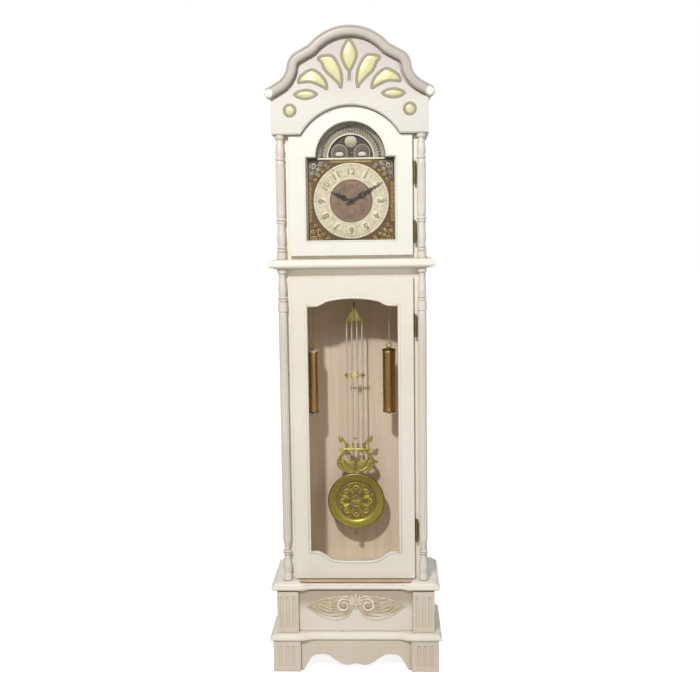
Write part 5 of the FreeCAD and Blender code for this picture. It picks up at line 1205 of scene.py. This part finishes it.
def edgeScrolls():
    # curls and leaves on the plain strips round the chapter ring
    parts = []
    ground = dial["plate"] - 0.2
    for k in range(-4, 5):
        z = dial["z"] - 2 + 14 * k
        turnSign = 1 if k % 2 else -1
        parts.append(ridge(scroll(127, z, 6.2, 1.4, 90 * turnSign, 1.2 * turnSign, 22), [0.8, 1.9, 1.4], 2.0,
                           ground))
        leaf = smoothLine([(121, z + 6), (127, z + 9), (133, z + 6)], 5)
        parts.append(ridge(leaf, [0.6, 2.2, 0.6], 1.8, ground, leafSection))
    for k in range(-6, 7):
        for z in (dial["z"] - 127.5, dial["z"] + 122.0):
            parts.append(ridge(scroll(13 * k + 3, z, 4.4, 1.2, 0, 1.1, 18), [0.6, 1.5, 1.1], 1.6, ground))
    for turnSign in (-1, 1):
        for x, z, reach in ((112, 70, 6.5), (101, 84, 6.0), (88, 97, 6.0), (72, 108, 5.5)):
            place = dial["z"] - 3 + turnSign * z
            parts.append(ridge(scroll(x, place, reach, 1.6, 40 * turnSign, 1.2 * turnSign, 22),
                               [0.8, 1.9, 1.3], 2.0, ground))
    return parts


def borderLine():
    # raised border just inside the edge of the square of the dial
    half = 133.6
    low, high = dial["z"] - 133.6, dial["archZ"] - 8.5
    corners = [(half, low), (half, high), (-half, high), (-half, low)]
    return ridge(corners, [0.9, 0.9], 1.2, dial["plate"], closed=True)


topScrolls = cornerScrolls(1, spandrel["top"], 1)
lowScrolls = cornerScrolls(1, -spandrel["drop"], -1)
# the top corner scrolls take a paler metal than the lower ones: painted highlight
makePiece("spandrel_scrolls_top", bothSides(topScrolls), filigree, "case")
makePiece("spandrel_scrolls_low", bothSides(lowScrolls), bronzeLine, "case")
makePiece("dial_edge_scrolls", bothSides(edgeScrolls()), bronzeLine, "case")
makePiece("dial_border", [borderLine()], bronze, "case")

moonWork = {
    "ring": 71.8,
    "bandLines": (76.5, 80.5, 84.5, 95.5, 99.5, 103.0),
    "hump": (35.0, 15.0, 26.0),
    "ground": nodeBox("lunar_scale")[0].y,
}


def lunarLines():
    z, ground = dial["archZ"], moonWork["ground"]
    parts = [ridge(arc(0, z, r, -89, 89, 70), [1.5, 1.0, 0.6, 1.0, 1.5], 1.2, ground)
             for r in moonWork["bandLines"]]
    for k in range(31):
        line = [polar(0, z, r, -84 + 168 * k / 30) for r in (86.5, 89, 91.5)]
        parts.append(ridge(line, [0.9, 0.9], 0.8, ground, flatSection))
    return parts


def humpArcs():
    offset, lift, radius = moonWork["hump"]
    z = dial["archZ"]
    parts = []
    for k in range(4):
        r = radius - 1.8 - 4.8 * k
        lean = math.degrees(math.acos(max(-1.0, min(1.0, (1.2 - lift) / r)))) if r > lift - 1.2 else 180.0
        line = arc(offset, z + lift, r, -lean, lean, 36)
        parts.append(ridge(line, [1.0, 1.0] if k else [2.0, 2.0], 1.3, dial["plate"]))
    return parts


def humpHighlights():
    # pale ivory dome on each hump: a painted highlight
    offset, lift, radius = moonWork["hump"]
    z = dial["archZ"] + lift
    dome = lathe([(0, -2.6), (3.0, -2.4), (6.0, -1.7), (8.5, 0.1)], (0, 0, 0), "y", 32)
    points = [(x * 1.5, y, zz * 0.85) for x, y, zz in dome[0]]
    return [([(x + offset, y + dial["plate"], zz + z - 4.0) for x, y, zz in points], dome[1])]


def humpFace():
    # dark ground of one hump, down to the bar
    offset, lift, radius = moonWork["hump"]
    lean = 180 - math.degrees(math.acos((lift - 0.2) / radius))
    loop = arc(offset, dial["archZ"] + lift, radius - 0.3, -lean, lean, 40)
    return [plate([loop], dial["plate"] - 0.25, dial["plate"] + 0.1, 0.05)]


makePiece("lunar_band_lines", lunarLines(), archGrey, "case")
makePiece("lunar_inner_ring", [ridge(arc(0, dial["archZ"], moonWork["ring"], -90, 90, 80), [2.6, 2.6], 1.9,
                                     moonWork["ground"])], ivory, "case")
bar = [(x, dial["archZ"] - 3.0) for x in (-104, 0, 104)]
makePiece("lunar_bar", [ridge(bar, [2.8, 2.8], 1.4, moonWork["ground"], flatSection)], ivory, "case")
makePiece("hump_arcs", bothSides(humpArcs()), humpGrey, "case")
makePiece("hump_highlight_ovals", bothSides(humpHighlights()), ovalHighlightPaint, "case")
makePiece("hump_faces", bothSides(humpFace()), bronzeDark, "case")

moonBall = {
    "radius": 20.0,
    "orbit": 53.0,
    "rise": 2.6,
    "z": middle("moon_disc").z,
    "face": nodeBox("moon_disc")[1].y - 1.5,
}


def moonDomes():
    parts = []
    r = moonBall["radius"]
    profile = [(r * math.sin(math.pi / 2 * k / 8), -moonBall["rise"] * math.cos(math.pi / 2 * k / 8))
               for k in range(9)] + [(r, 0.1)]
    for side in (-1, 1):
        parts.append(lathe(profile, (0, moonBall["face"], moonBall["z"] + side * moonBall["orbit"]), "y", 48))
    return parts


def moonStars():
    # small raised dots over the sky between the moons
    parts = []
    for k in range(26):
        x, z = polar(0, 0, 18 + 48 * ((k * 0.381966) % 1.0), k * 137.5)
        if min(abs(math.hypot(x, z - side * moonBall["orbit"])) for side in (-1, 1)) > moonBall["radius"] + 3:
            parts.append(lathe([(0, -0.7), (0.9, -0.5), (1.3, 0.1)], (x, moonBall["face"], moonBall["z"] + z),
                               "y", 8))
    return parts


makePiece("moon_balls", moonDomes(), moonPaint, "moon")
makePiece("moon_stars", moonStars(), filigree, "moon")
print("moon arch dressed")

hands = {
    "minute": {"length": 113.0, "angle": 60.0, "plane": nodeBox("minute_hand")[0].y + 2.0},
    "hour": {"length": 72.0, "angle": 294.0, "plane": -62.0},
}


def handOrnament(length, plane):
    # a spine and two loops raised on the blade
    def run(points, widths, lift=0.5):
        line = smoothLine([(x * length, z * length) for x, z in points], 7)
        return ridge(line, widths, lift, plane, sink=0.9)

    right = [
        run([(0.015, 0.20), (0.05, 0.27), (0.06, 0.35), (0.03, 0.43), (0.0, 0.47)], [0.6, 1.1, 1.1, 0.7]),
        run([(0.0, 0.50), (0.04, 0.56), (0.025, 0.65), (0.0, 0.70)], [0.6, 1.0, 0.5]),
    ]
    spine = run([(0.0, 0.08), (0.0, 0.4), (0.0, 0.7), (0.0, 0.995)], [1.2, 1.3, 1.5, 0.6])
    return bothSides(right) + [spine]


for name, style in hands.items():
    parts = handOrnament(style["length"], style["plane"])
    turned = [turn(part, 0, dial["z"], math.radians(style["angle"])) for part in parts]
    makePiece(name + "_hand_scrolls", turned, blackSteel, name)
cap = lathe([(0, -1.6), (2.2, -1.3), (3.6, -0.4), (3.9, 0.6)], (0, nodeBox("minute_hand")[0].y, dial["z"]),
            "y", 24)
makePiece("hand_cap", [cap], blackSteel, "minute")
print("hands pierced")


# Pendulum

bobBox = nodeBox("pendulum_bob")
pendulum = {
    "y": middle("pendulum_bob").y,
    "bobRadius": 94.0,
    "bobZ": bobBox[1].z - 94.0,
    "discRadius": 64.0,
    "field": bobBox[0].y + 4.0,
    "lip": 5.0,
    "rim": [(65.0, 3.2), (68.0, 1.8), (73.0, 0.8), (79.0, 0.3), (85.0, 0.8)],
}
rodPlaces = (8.33, 25.0)


def bobShell():
    back = bobBox[1].y - pendulum["y"]
    front = bobBox[0].y - pendulum["y"]
    r, lip = pendulum["bobRadius"], pendulum["lip"]
    profile = [(0, front + 4.0), (pendulum["discRadius"], front + 4.0)]
    profile += [(reach, front + depth) for reach, depth in pendulum["rim"]]
    for k in range(9):
        angle = math.pi * k / 8
        profile.append((r - lip + lip * math.sin(angle), front + lip - lip * math.cos(angle)))
    profile += [(80.0, back - 3.0), (50.0, back - 1.0), (0, back)]
    return lathe(profile, (0, pendulum["y"], pendulum["bobZ"]), "y", 120)


def bobScrolls():
    z, ground = pendulum["bobZ"], pendulum["field"]
    parts = [raisedRing(z, 17.5, 1.5, 2.2, ground, 48), raisedRing(z, 62.0, 1.2, 1.8, ground)]
    for k in range(8):
        base = 45 * k
        for bend in (-1, 1):
            line = scroll(*polar(0, z, 44, base), 13.5, 2.6, base + 180 + 20 * bend, 1.05 * bend, 28)
            parts.append(ridge(line, [1.0, 2.3, 1.6], 2.4, ground))
        leaf = [polar(0, z, r, base + 22.5) for r in (20, 30, 42, 50)]
        parts.append(ridge(smoothLine(leaf, 5), [0.6, 3.4, 4.0, 0.6], 2.4, ground, leafSection))
        stud = polar(0, z, 55.5, base + 22.5)
        parts.append(lathe([(0, -2.2), (2.2, -1.6), (3.2, 0.1)], (stud[0], ground, stud[1]), "y", 14))
        petal = [polar(0, z, r, base) for r in (3, 9, 15)]
        parts.append(ridge(petal, [1.2, 3.6, 0.6], 2.2, ground, leafSection))
    parts.append(lathe([(0, -3.4), (2.6, -3.0), (4.0, -1.5), (4.2, 0.1)], (0, ground, z), "y", 20))
    return parts


def ratingNut():
    low = bobBox[0].z
    y = pendulum["y"]
    stem = lathe([(0, 0), (1.6, 0.4), (2.3, 2.0), (2.3, 40.0), (0, 40.0)], (0, y, low), "z", 20)
    nut = lathe([(3.0, 5.4), (8.0, 6.0), (8.4, 7.0), (8.4, 11.0), (8.0, 12.0), (3.0, 12.6)], (0, y, low), "z",
                40, {"low": 6.5, "high": 11.5, "count": 20, "depth": 0.05})
    return [stem, nut]


makePiece("bob_shell", [bobShell()], bobRim, "pendulum", ["pendulum_bob"])
bobField = lathe([(0, -0.5), (63.6, -0.5), (63.6, 0.2), (0, 0.2)],
                 (0, pendulum["field"], pendulum["bobZ"]), "y", 96)
makePiece("bob_field", [bobField], bobGround, "pendulum")
makePiece("bob_scrolls", bobScrolls(), bobRelief, "pendulum")
makePiece("rating_nut", ratingNut(), brass, "pendulum")

lyre = {
    "foot": pendulum["bobZ"] + pendulum["bobRadius"] + 3.0,
    "rise": 118.0,
    "half": 62.0,
    "bar": 78.0,
    "barHalf": 51.0,
    "outer": [(0.60, 0.0), (0.95, 0.14), (1.0, 0.30), (0.80, 0.50), (0.55, 0.66), (0.62, 0.84), (0.87, 1.0)],
    "inner": [(0.70, 0.96), (0.50, 0.84), (0.40, 0.66), (0.62, 0.48), (0.80, 0.30), (0.74, 0.18),
              (0.35, 0.10)],
    "thick": 4.0,
}


def lyrePlate():
    rise = lyre["rise"]

    def place(share):
        return lyre["half"] * share[0], lyre["foot"] + rise * share[1]

    outer = smoothLine([place(s) for s in lyre["outer"]], 7)
    inner = smoothLine([place(s) for s in lyre["inner"]], 7)
    right = [(0.0, lyre["foot"])] + outer + inner + [(0.0, lyre["foot"] + rise * 0.10)]
    front = pendulum["y"] - lyre["thick"] / 2
    return bothSides([plate([right], front, front + lyre["thick"], 1.0)])


def lyreScrolls():
    front = pendulum["y"] - lyre["thick"] / 2
    z = lyre["foot"]
    right = [
        ridge(scroll(46, z + 109, 9.5, 2.4, 200, -1.3, 28), [2.4, 2.6, 2.2], 3.0, front),
        ridge(smoothLine([(38, z + 2), (54, z + 18), (57, z + 36), (46, z + 56), (30, z + 74), (31, z + 94),
                          (43, z + 108)], 8), [1.6, 3.2, 3.6, 3.0, 2.4, 2.4, 2.6], 3.2, front),
        ridge(scroll(52, z + 30, 9.0, 2.2, 20, 1.2, 26), [1.4, 2.6, 2.0], 3.4, front),
        ridge(smoothLine([(3, z + 6), (18, z + 14), (34, z + 30), (40, z + 46)], 7), [1.4, 4.6, 4.0, 0.8],
              3.0, front, leafSection),
        ridge(smoothLine([(2, z + 4), (20, z + 5), (36, z + 12), (48, z + 24)], 7), [1.2, 3.6, 3.2, 0.8], 2.6,
              front, leafSection),
        ridge(scroll(22, z + 50, 8.0, 2.0, 120, -1.3, 24), [1.2, 2.2, 1.8], 2.8, front),
        lathe([(0, -4.4), (2.6, -3.4), (3.8, -0.6), (2.6, 2.4), (0, 3.4)], (54, pendulum["y"], z + 117), "y",
              20),
    ]
    for x in rodPlaces:
        right.append(lathe([(0, z + 82), (3.6, z + 82.5), (4.2, z + 85), (3.2, z + 88), (3.8, z + 93),
                            (2.8, z + 97), (0, z + 98)], (x, pendulum["y"], 0), "z", 18))
    middleLeaf = ridge(smoothLine([(0, z + 2), (0, z + 22), (0, z + 40), (0, z + 52)], 7),
                       [2.0, 7.0, 6.0, 0.8], 3.6, front, leafSection)
    ball = lathe([(0, -4.8), (3.0, -3.6), (4.4, -0.4), (3.0, 2.8), (0, 4.0)], (0, pendulum["y"], z + 112),
                 "y", 22)
    return bothSides(right) + [middleLeaf, ball]


def lyreBar():
    half = lyre["barHalf"]
    profile = [(0, -half - 4), (3.4, -half - 3), (4.4, -half), (3.4, -half + 3), (3.0, -half + 4)]
    for k in range(9):
        share = k / 8
        profile.append((3.6 + 0.8 * math.sin(math.pi * share), (-half + 5) * (1 - share)))
    profile += [(r, -x) for r, x in reversed(profile[:-1])]
    return lathe(profile, (0, pendulum["y"], lyre["foot"] + lyre["bar"] - 2.4), "x", 24)


def lyreFoot():
    # solid palmette between the arms
    z = lyre["foot"]
    line = smoothLine([(40, z), (52, z + 8), (58, z + 22), (56, z + 38), (47, z + 43), (38, z + 34),
                       (30, z + 38), (22, z + 41), (14, z + 35), (8, z + 39), (0, z + 46)], 6)
    loop = line + [(-x, z) for x, z in reversed(line[:-1])]
    front = pendulum["y"] - 1.4
    return plate([loop], front, front + 2.8, 0.8)


makePiece("lyre_frame", lyrePlate() + [lyreFoot(), lyreBar()], olive, "pendulum", ["pendulum_lyre"])
makePiece("lyre_scrolls", lyreScrolls(), olive, "pendulum")

star = {"z": 921.0, "points": 8, "outer": 13.5, "inner": 8.0, "front": nodeBox("pendulum_rods")[0].y}


def starBoss():
    count = star["points"] * 2
    y = star["front"]
    points = [(0, y - 1.6, star["z"])]
    for k in range(count):
        reach = star["outer"] if k % 2 == 0 else star["inner"]
        angle = 2 * math.pi * k / count
        points.append((reach * math.sin(angle), y - 0.4, star["z"] + reach * math.cos(angle)))
    for k in range(count):
        x, _, z = points[1 + k]
        points.append((x, y + 1.0, z))
    faces = [(0, 1 + k, 1 + (k + 1) % count) for k in range(count)]
    faces += [(1 + k, 1 + count + k, 1 + count + (k + 1) % count, 1 + (k + 1) % count) for k in range(count)]
    faces.append(tuple(1 + count + k for k in range(count)))
    return points, faces


def starArms():
    y = pendulum["y"]
    right = [lathe([(0, 34.0), (2.4, 33.4), (3.6, 31.0), (2.4, 28.6), (2.0, 28.0), (2.0, 26.0)],
                   (0, y, star["z"]), "x", 18)]
    for x in rodPlaces:
        right.append(lathe([(2.6, -8.0), (4.2, -7.0), (4.2, -5.5), (3.2, -4.5), (3.2, 4.5), (4.2, 5.5),
                            (4.2, 7.0), (2.6, 8.0)], (x, y, star["z"]), "z", 20))
    return bothSides(right)


makePiece("star_boss", [starBoss()], gold, "pendulum", crease=10)
makePiece("star_collars", starArms(), brass, "pendulum")

rods = {"radius": 2.4, "low": nodeBox("pendulum_rods")[0].z,
        "high": nodeBox("pendulum_rods")[1].z, "bar": 33.0}


def rodSet():
    y = pendulum["y"]
    parts = []
    for x in rodPlaces:
        parts.append(lathe([(0, rods["low"]), (rods["radius"], rods["low"]), (rods["radius"], rods["high"]),
                            (0, rods["high"])], (x, y, 0), "z", 20))
    return bothSides(parts)


def starBar():
    # slim bar that ties the rods behind the star
    half = rods["bar"]
    profile = [(0, -half), (2.2, -half), (1.6, -half + 4)]
    profile += [(2.6 - 1.0 * math.cos(math.pi * k / 8), -half + 4 + (half - 8) * k / 8) for k in range(1, 9)]
    profile += [(r, -x) for r, x in reversed(profile)]
    return lathe(profile, (0, pendulum["y"], star["z"]), "x", 20)


makePiece("pendulum_rod_set", rodSet(), silver, "pendulum", ["pendulum_rods"])
makePiece("star_bar", [starBar()], brass, "pendulum")

hookPlate = {
    "apex": 1143.0,
    "base": 1098.0,
    "half": 29.0,
    "top": 4.0,
    "inset": 2.6,
    "front": pendulum["y"] - 2.0,
    "leaf": [(0, 1102), (0, 1115), (0, 1128), (0, 1138)],
    "hook": [(-4, 1143), (-7, 1150), (-6, 1158), (-2, 1161), (-1, 1156)],
}


def hookPlateRelief():
    style = hookPlate
    inset = style["inset"]
    loop = [(style["top"], style["apex"] - inset), (style["half"] - 2.2 * inset, style["base"] + inset),
            (-style["half"] + 2.2 * inset, style["base"] + inset), (-style["top"], style["apex"] - inset)]
    parts = [ridge(loop, [1.8, 1.8], 2.0, style["front"], closed=True),
             plate([loop], style["front"] - 0.8, style["front"] + 0.4, 0.3)]
    parts.append(ridge(smoothLine(style["leaf"], 6), [1.0, 4.5, 3.2, 0.6], 2.4, style["front"], leafSection))
    for side in (-1, 1):
        parts.append(ridge(scroll(side * 12, 1108, 6.5, 1.6, 20 * side, 1.1 * side, 22), [0.8, 1.6, 1.2], 2.0,
                           style["front"]))
        for x in rodPlaces:
            parts.append(lathe([(2.6, -10.0), (4.4, -9.0), (4.4, -5.0), (3.2, -4.0), (3.2, 2.0)],
                               (side * x, pendulum["y"], style["base"]), "z", 18))
    return parts


def leaderHook():
    line = [(0, pendulum["y"] + out, z) for out, z in hookPlate["hook"]]
    return [wire(smoothLine(line, 6), 2.2)]


makePiece("hook_plate_relief", hookPlateRelief(), plateGold, "pendulum")
makePiece("leader_hook", leaderHook(), blackSteel, "pendulum")
print("pendulum dressed")


# Weights and their lines

weight = {
    "radius": 21.5,
    "low": 808.0,
    "ring": 8.0,
    "wire": 1.8,
}
weight["length"] = nodeBox("weight_left")[1].z - weight["low"] - 2 * (weight["ring"] + weight["wire"])
twist = {"strands": 3, "reach": 0.38, "radius": 0.45, "steps": 180, "turn": 0.7}


def weightShell(x, y):
    r, low, size = weight["radius"], weight["low"], weight["length"]
    profile = [(0, 3.0), (r - 1.2, 3.0), (r - 0.2, 3.6), (r - 0.2, 6.0), (r, 7.0), (r, 12.0), (r - 0.6, 12.6),
               (r - 0.6, size - 14.0), (r, size - 13.4), (r, size - 8.0), (r - 0.4, size - 7.0),
               (0, size - 7.0)]
    return lathe(profile, (x, y, low), "z", 72)


def weightCaps(x, y):
    r, low, size = weight["radius"], weight["low"], weight["length"]
    foot = [(0, -5.0), (3.6, -5.0), (4.4, -4.0), (4.4, -1.5), (8.0, -0.6), (14.0, 0.0), (r - 1.6, 0.6),
            (r, 2.0), (r, 4.4), (r - 1.0, 5.4), (0, 5.4)]
    head = [(0, size - 8.0), (r - 0.4, size - 8.0), (r, size - 6.0), (r, size - 3.0), (r - 1.6, size - 1.2),
            (14.0, size - 0.4), (8.0, size + 0.8), (6.0, size + 2.0), (0, size + 2.0)]
    return [lathe(profile, (x, y, low), "z", 72) for profile in (foot, head)]


def weightHook(x, y):
    top = weight["low"] + weight["length"]
    centre = top + weight["ring"] + weight["wire"]
    line = [(x + weight["ring"] * math.sin(a), y, centre + weight["ring"] * math.cos(a))
            for a in (2 * math.pi * k / 40 for k in range(40))]
    neck = lathe([(0, 0.0), (5.0, 0.0), (4.2, 1.6), (3.0, 2.6), (3.4, 3.6), (2.6, 4.6), (0, 4.6)],
                 (x, y, top - 0.2), "z", 28)
    return [wire(line, weight["wire"], 12, True), neck]


for side, cap in (("left", silver), ("right", darkBrass)):
    spot = middle("weight_" + side)
    body = "weight_" + side
    foot, head = weightCaps(spot.x, spot.y)
    makePiece("weight_shell_" + side, [weightShell(spot.x, spot.y)], weightBrass, body,
              ["weight_" + side])
    makePiece("weight_foot_" + side, [foot], darkBrass, body)
    makePiece("weight_head_" + side, [head], cap, body)
    makePiece("weight_hook_" + side, weightHook(spot.x, spot.y), brass, body)
    low, high = nodeBox("weight_line_" + side)
    x, y = (low.x + high.x) / 2, (low.y + high.y) / 2
    strands = []
    for strand in range(twist["strands"]):
        phase = 2 * math.pi * strand / twist["strands"]
        line = []
        for k in range(twist["steps"] + 1):
            angle = phase + k * twist["turn"]
            line.append((x + twist["reach"] * math.cos(angle), y + twist["reach"] * math.sin(angle),
                         low.z + (high.z - low.z) * k / twist["steps"]))
        strands.append(wire(line, twist["radius"], 6))
    twisted = makePiece("twisted_line_" + side, strands, linePaint, None, ["weight_line_" + side])
    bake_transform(twisted)
print("weights hung")


# Floor, light and camera

stageStyle = {
    "floorHalf": 30.0,
    "floorColour": (0.86, 0.86, 0.86),
    "floorLift": 0.85,
    "skyLight": (0.29, 0.275, 0.255),
    "keyPlace": (-0.68, -3.48, 3.35),
    "keyAim": (0.0, -0.05, 1.15),
    "keySize": 0.22,
    "keyPower": 130.0,
    "keyColour": (1.0, 0.965, 0.91),
    "fillPlace": (2.4, -2.6, 1.5),
    "fillSize": 2.2,
    "fillPower": 12.0,
}


def makeFloor():
    half = stageStyle["floorHalf"]
    shape = bpy.data.meshes.new("floor")
    shape.from_pydata([(-half, -half, 0), (half, -half, 0), (half, half, 0), (-half, half, 0)], [],
                      [(0, 1, 2, 3)])
    floor = bpy.data.objects.new("floor", shape)
    bpy.context.scene.collection.objects.link(floor)
    material = bpy.data.materials.new("floor_white")
    material.use_nodes = True
    tree = material.node_tree
    tree.nodes.clear()
    matt = addNode(tree, "ShaderNodeBsdfDiffuse", Color=colour(stageStyle["floorColour"]))
    lift = addNode(tree, "ShaderNodeEmission", Strength=stageStyle["floorLift"])
    path = tree.nodes.new("ShaderNodeLightPath")
    both = tree.nodes.new("ShaderNodeAddShader")
    seen = tree.nodes.new("ShaderNodeMixShader")
    out = tree.nodes.new("ShaderNodeOutputMaterial")
    tree.links.new(matt.outputs[0], both.inputs[0])
    tree.links.new(lift.outputs[0], both.inputs[1])
    tree.links.new(path.outputs["Is Camera Ray"], seen.inputs[0])
    tree.links.new(matt.outputs[0], seen.inputs[1])
    tree.links.new(both.outputs[0], seen.inputs[2])
    tree.links.new(seen.outputs[0], out.inputs[0])
    shape.materials.append(material)


def makeSky():
    world = bpy.data.worlds.new("studio")
    bpy.context.scene.world = world
    world.use_nodes = True
    tree = world.node_tree
    tree.nodes.clear()
    soft = addNode(tree, "ShaderNodeBackground", Color=colour(stageStyle["skyLight"]), Strength=1.0)
    white = addNode(tree, "ShaderNodeBackground", Color=colour((1, 1, 1)), Strength=1.0)
    path = tree.nodes.new("ShaderNodeLightPath")
    mix = tree.nodes.new("ShaderNodeMixShader")
    out = tree.nodes.new("ShaderNodeOutputWorld")
    seen = path.outputs["Is Camera Ray"]
    for name in ("Is Glossy Ray", "Is Transmission Ray"):
        either = tree.nodes.new("ShaderNodeMath")
        either.operation = "MAXIMUM"
        tree.links.new(seen, either.inputs[0])
        tree.links.new(path.outputs[name], either.inputs[1])
        seen = either.outputs[0]
    tree.links.new(seen, mix.inputs[0])
    tree.links.new(soft.outputs[0], mix.inputs[1])
    tree.links.new(white.outputs[0], mix.inputs[2])
    tree.links.new(mix.outputs[0], out.inputs[0])


def makeLamp(name, place, aim, size, power, tint=(1, 1, 1)):
    lamp = bpy.data.lights.new(name, "AREA")
    lamp.shape = "DISK"
    lamp.size = size
    lamp.energy = power
    lamp.color = tint
    thing = bpy.data.objects.new(name, lamp)
    thing.location = place
    thing.rotation_euler = (Vector(aim) - Vector(place)).to_track_quat("-Z", "Y").to_euler()
    bpy.context.scene.collection.objects.link(thing)


cameraStyle = {
    "place": (0.1182, -3.3651, 1.3725),
    "yaw": -2.22,
    "pitch": 6.13,
    "roll": -0.74,
    "lens": 54.44,
}


def makeCamera():
    style = cameraStyle
    yaw, pitch, roll = (math.radians(style[k]) for k in ("yaw", "pitch", "roll"))
    ahead = Vector((math.sin(yaw) * math.cos(pitch), math.cos(yaw) * math.cos(pitch), -math.sin(pitch)))
    right = Vector((math.cos(yaw), -math.sin(yaw), 0))
    up = right.cross(ahead)
    right = right * math.cos(roll) + up * math.sin(roll)
    up = right.cross(ahead)
    data = bpy.data.cameras.new("camera")
    data.lens = style["lens"]
    data.sensor_width = 36.0
    camera = bpy.data.objects.new("camera", data)
    pose = Matrix((right, up, -ahead)).transposed().to_4x4()
    pose.translation = Vector(style["place"])
    camera.matrix_world = pose
    bpy.context.scene.collection.objects.link(camera)
    bpy.context.scene.camera = camera


makeFloor()
makeSky()
makeLamp("key_light", stageStyle["keyPlace"], stageStyle["keyAim"], stageStyle["keySize"],
         stageStyle["keyPower"], stageStyle["keyColour"])
makeLamp("fill_light", stageStyle["fillPlace"], stageStyle["keyAim"], stageStyle["fillSize"],
         stageStyle["fillPower"])
makeCamera()
bpy.context.scene.view_settings.view_transform = "Standard"
print("stage lit")
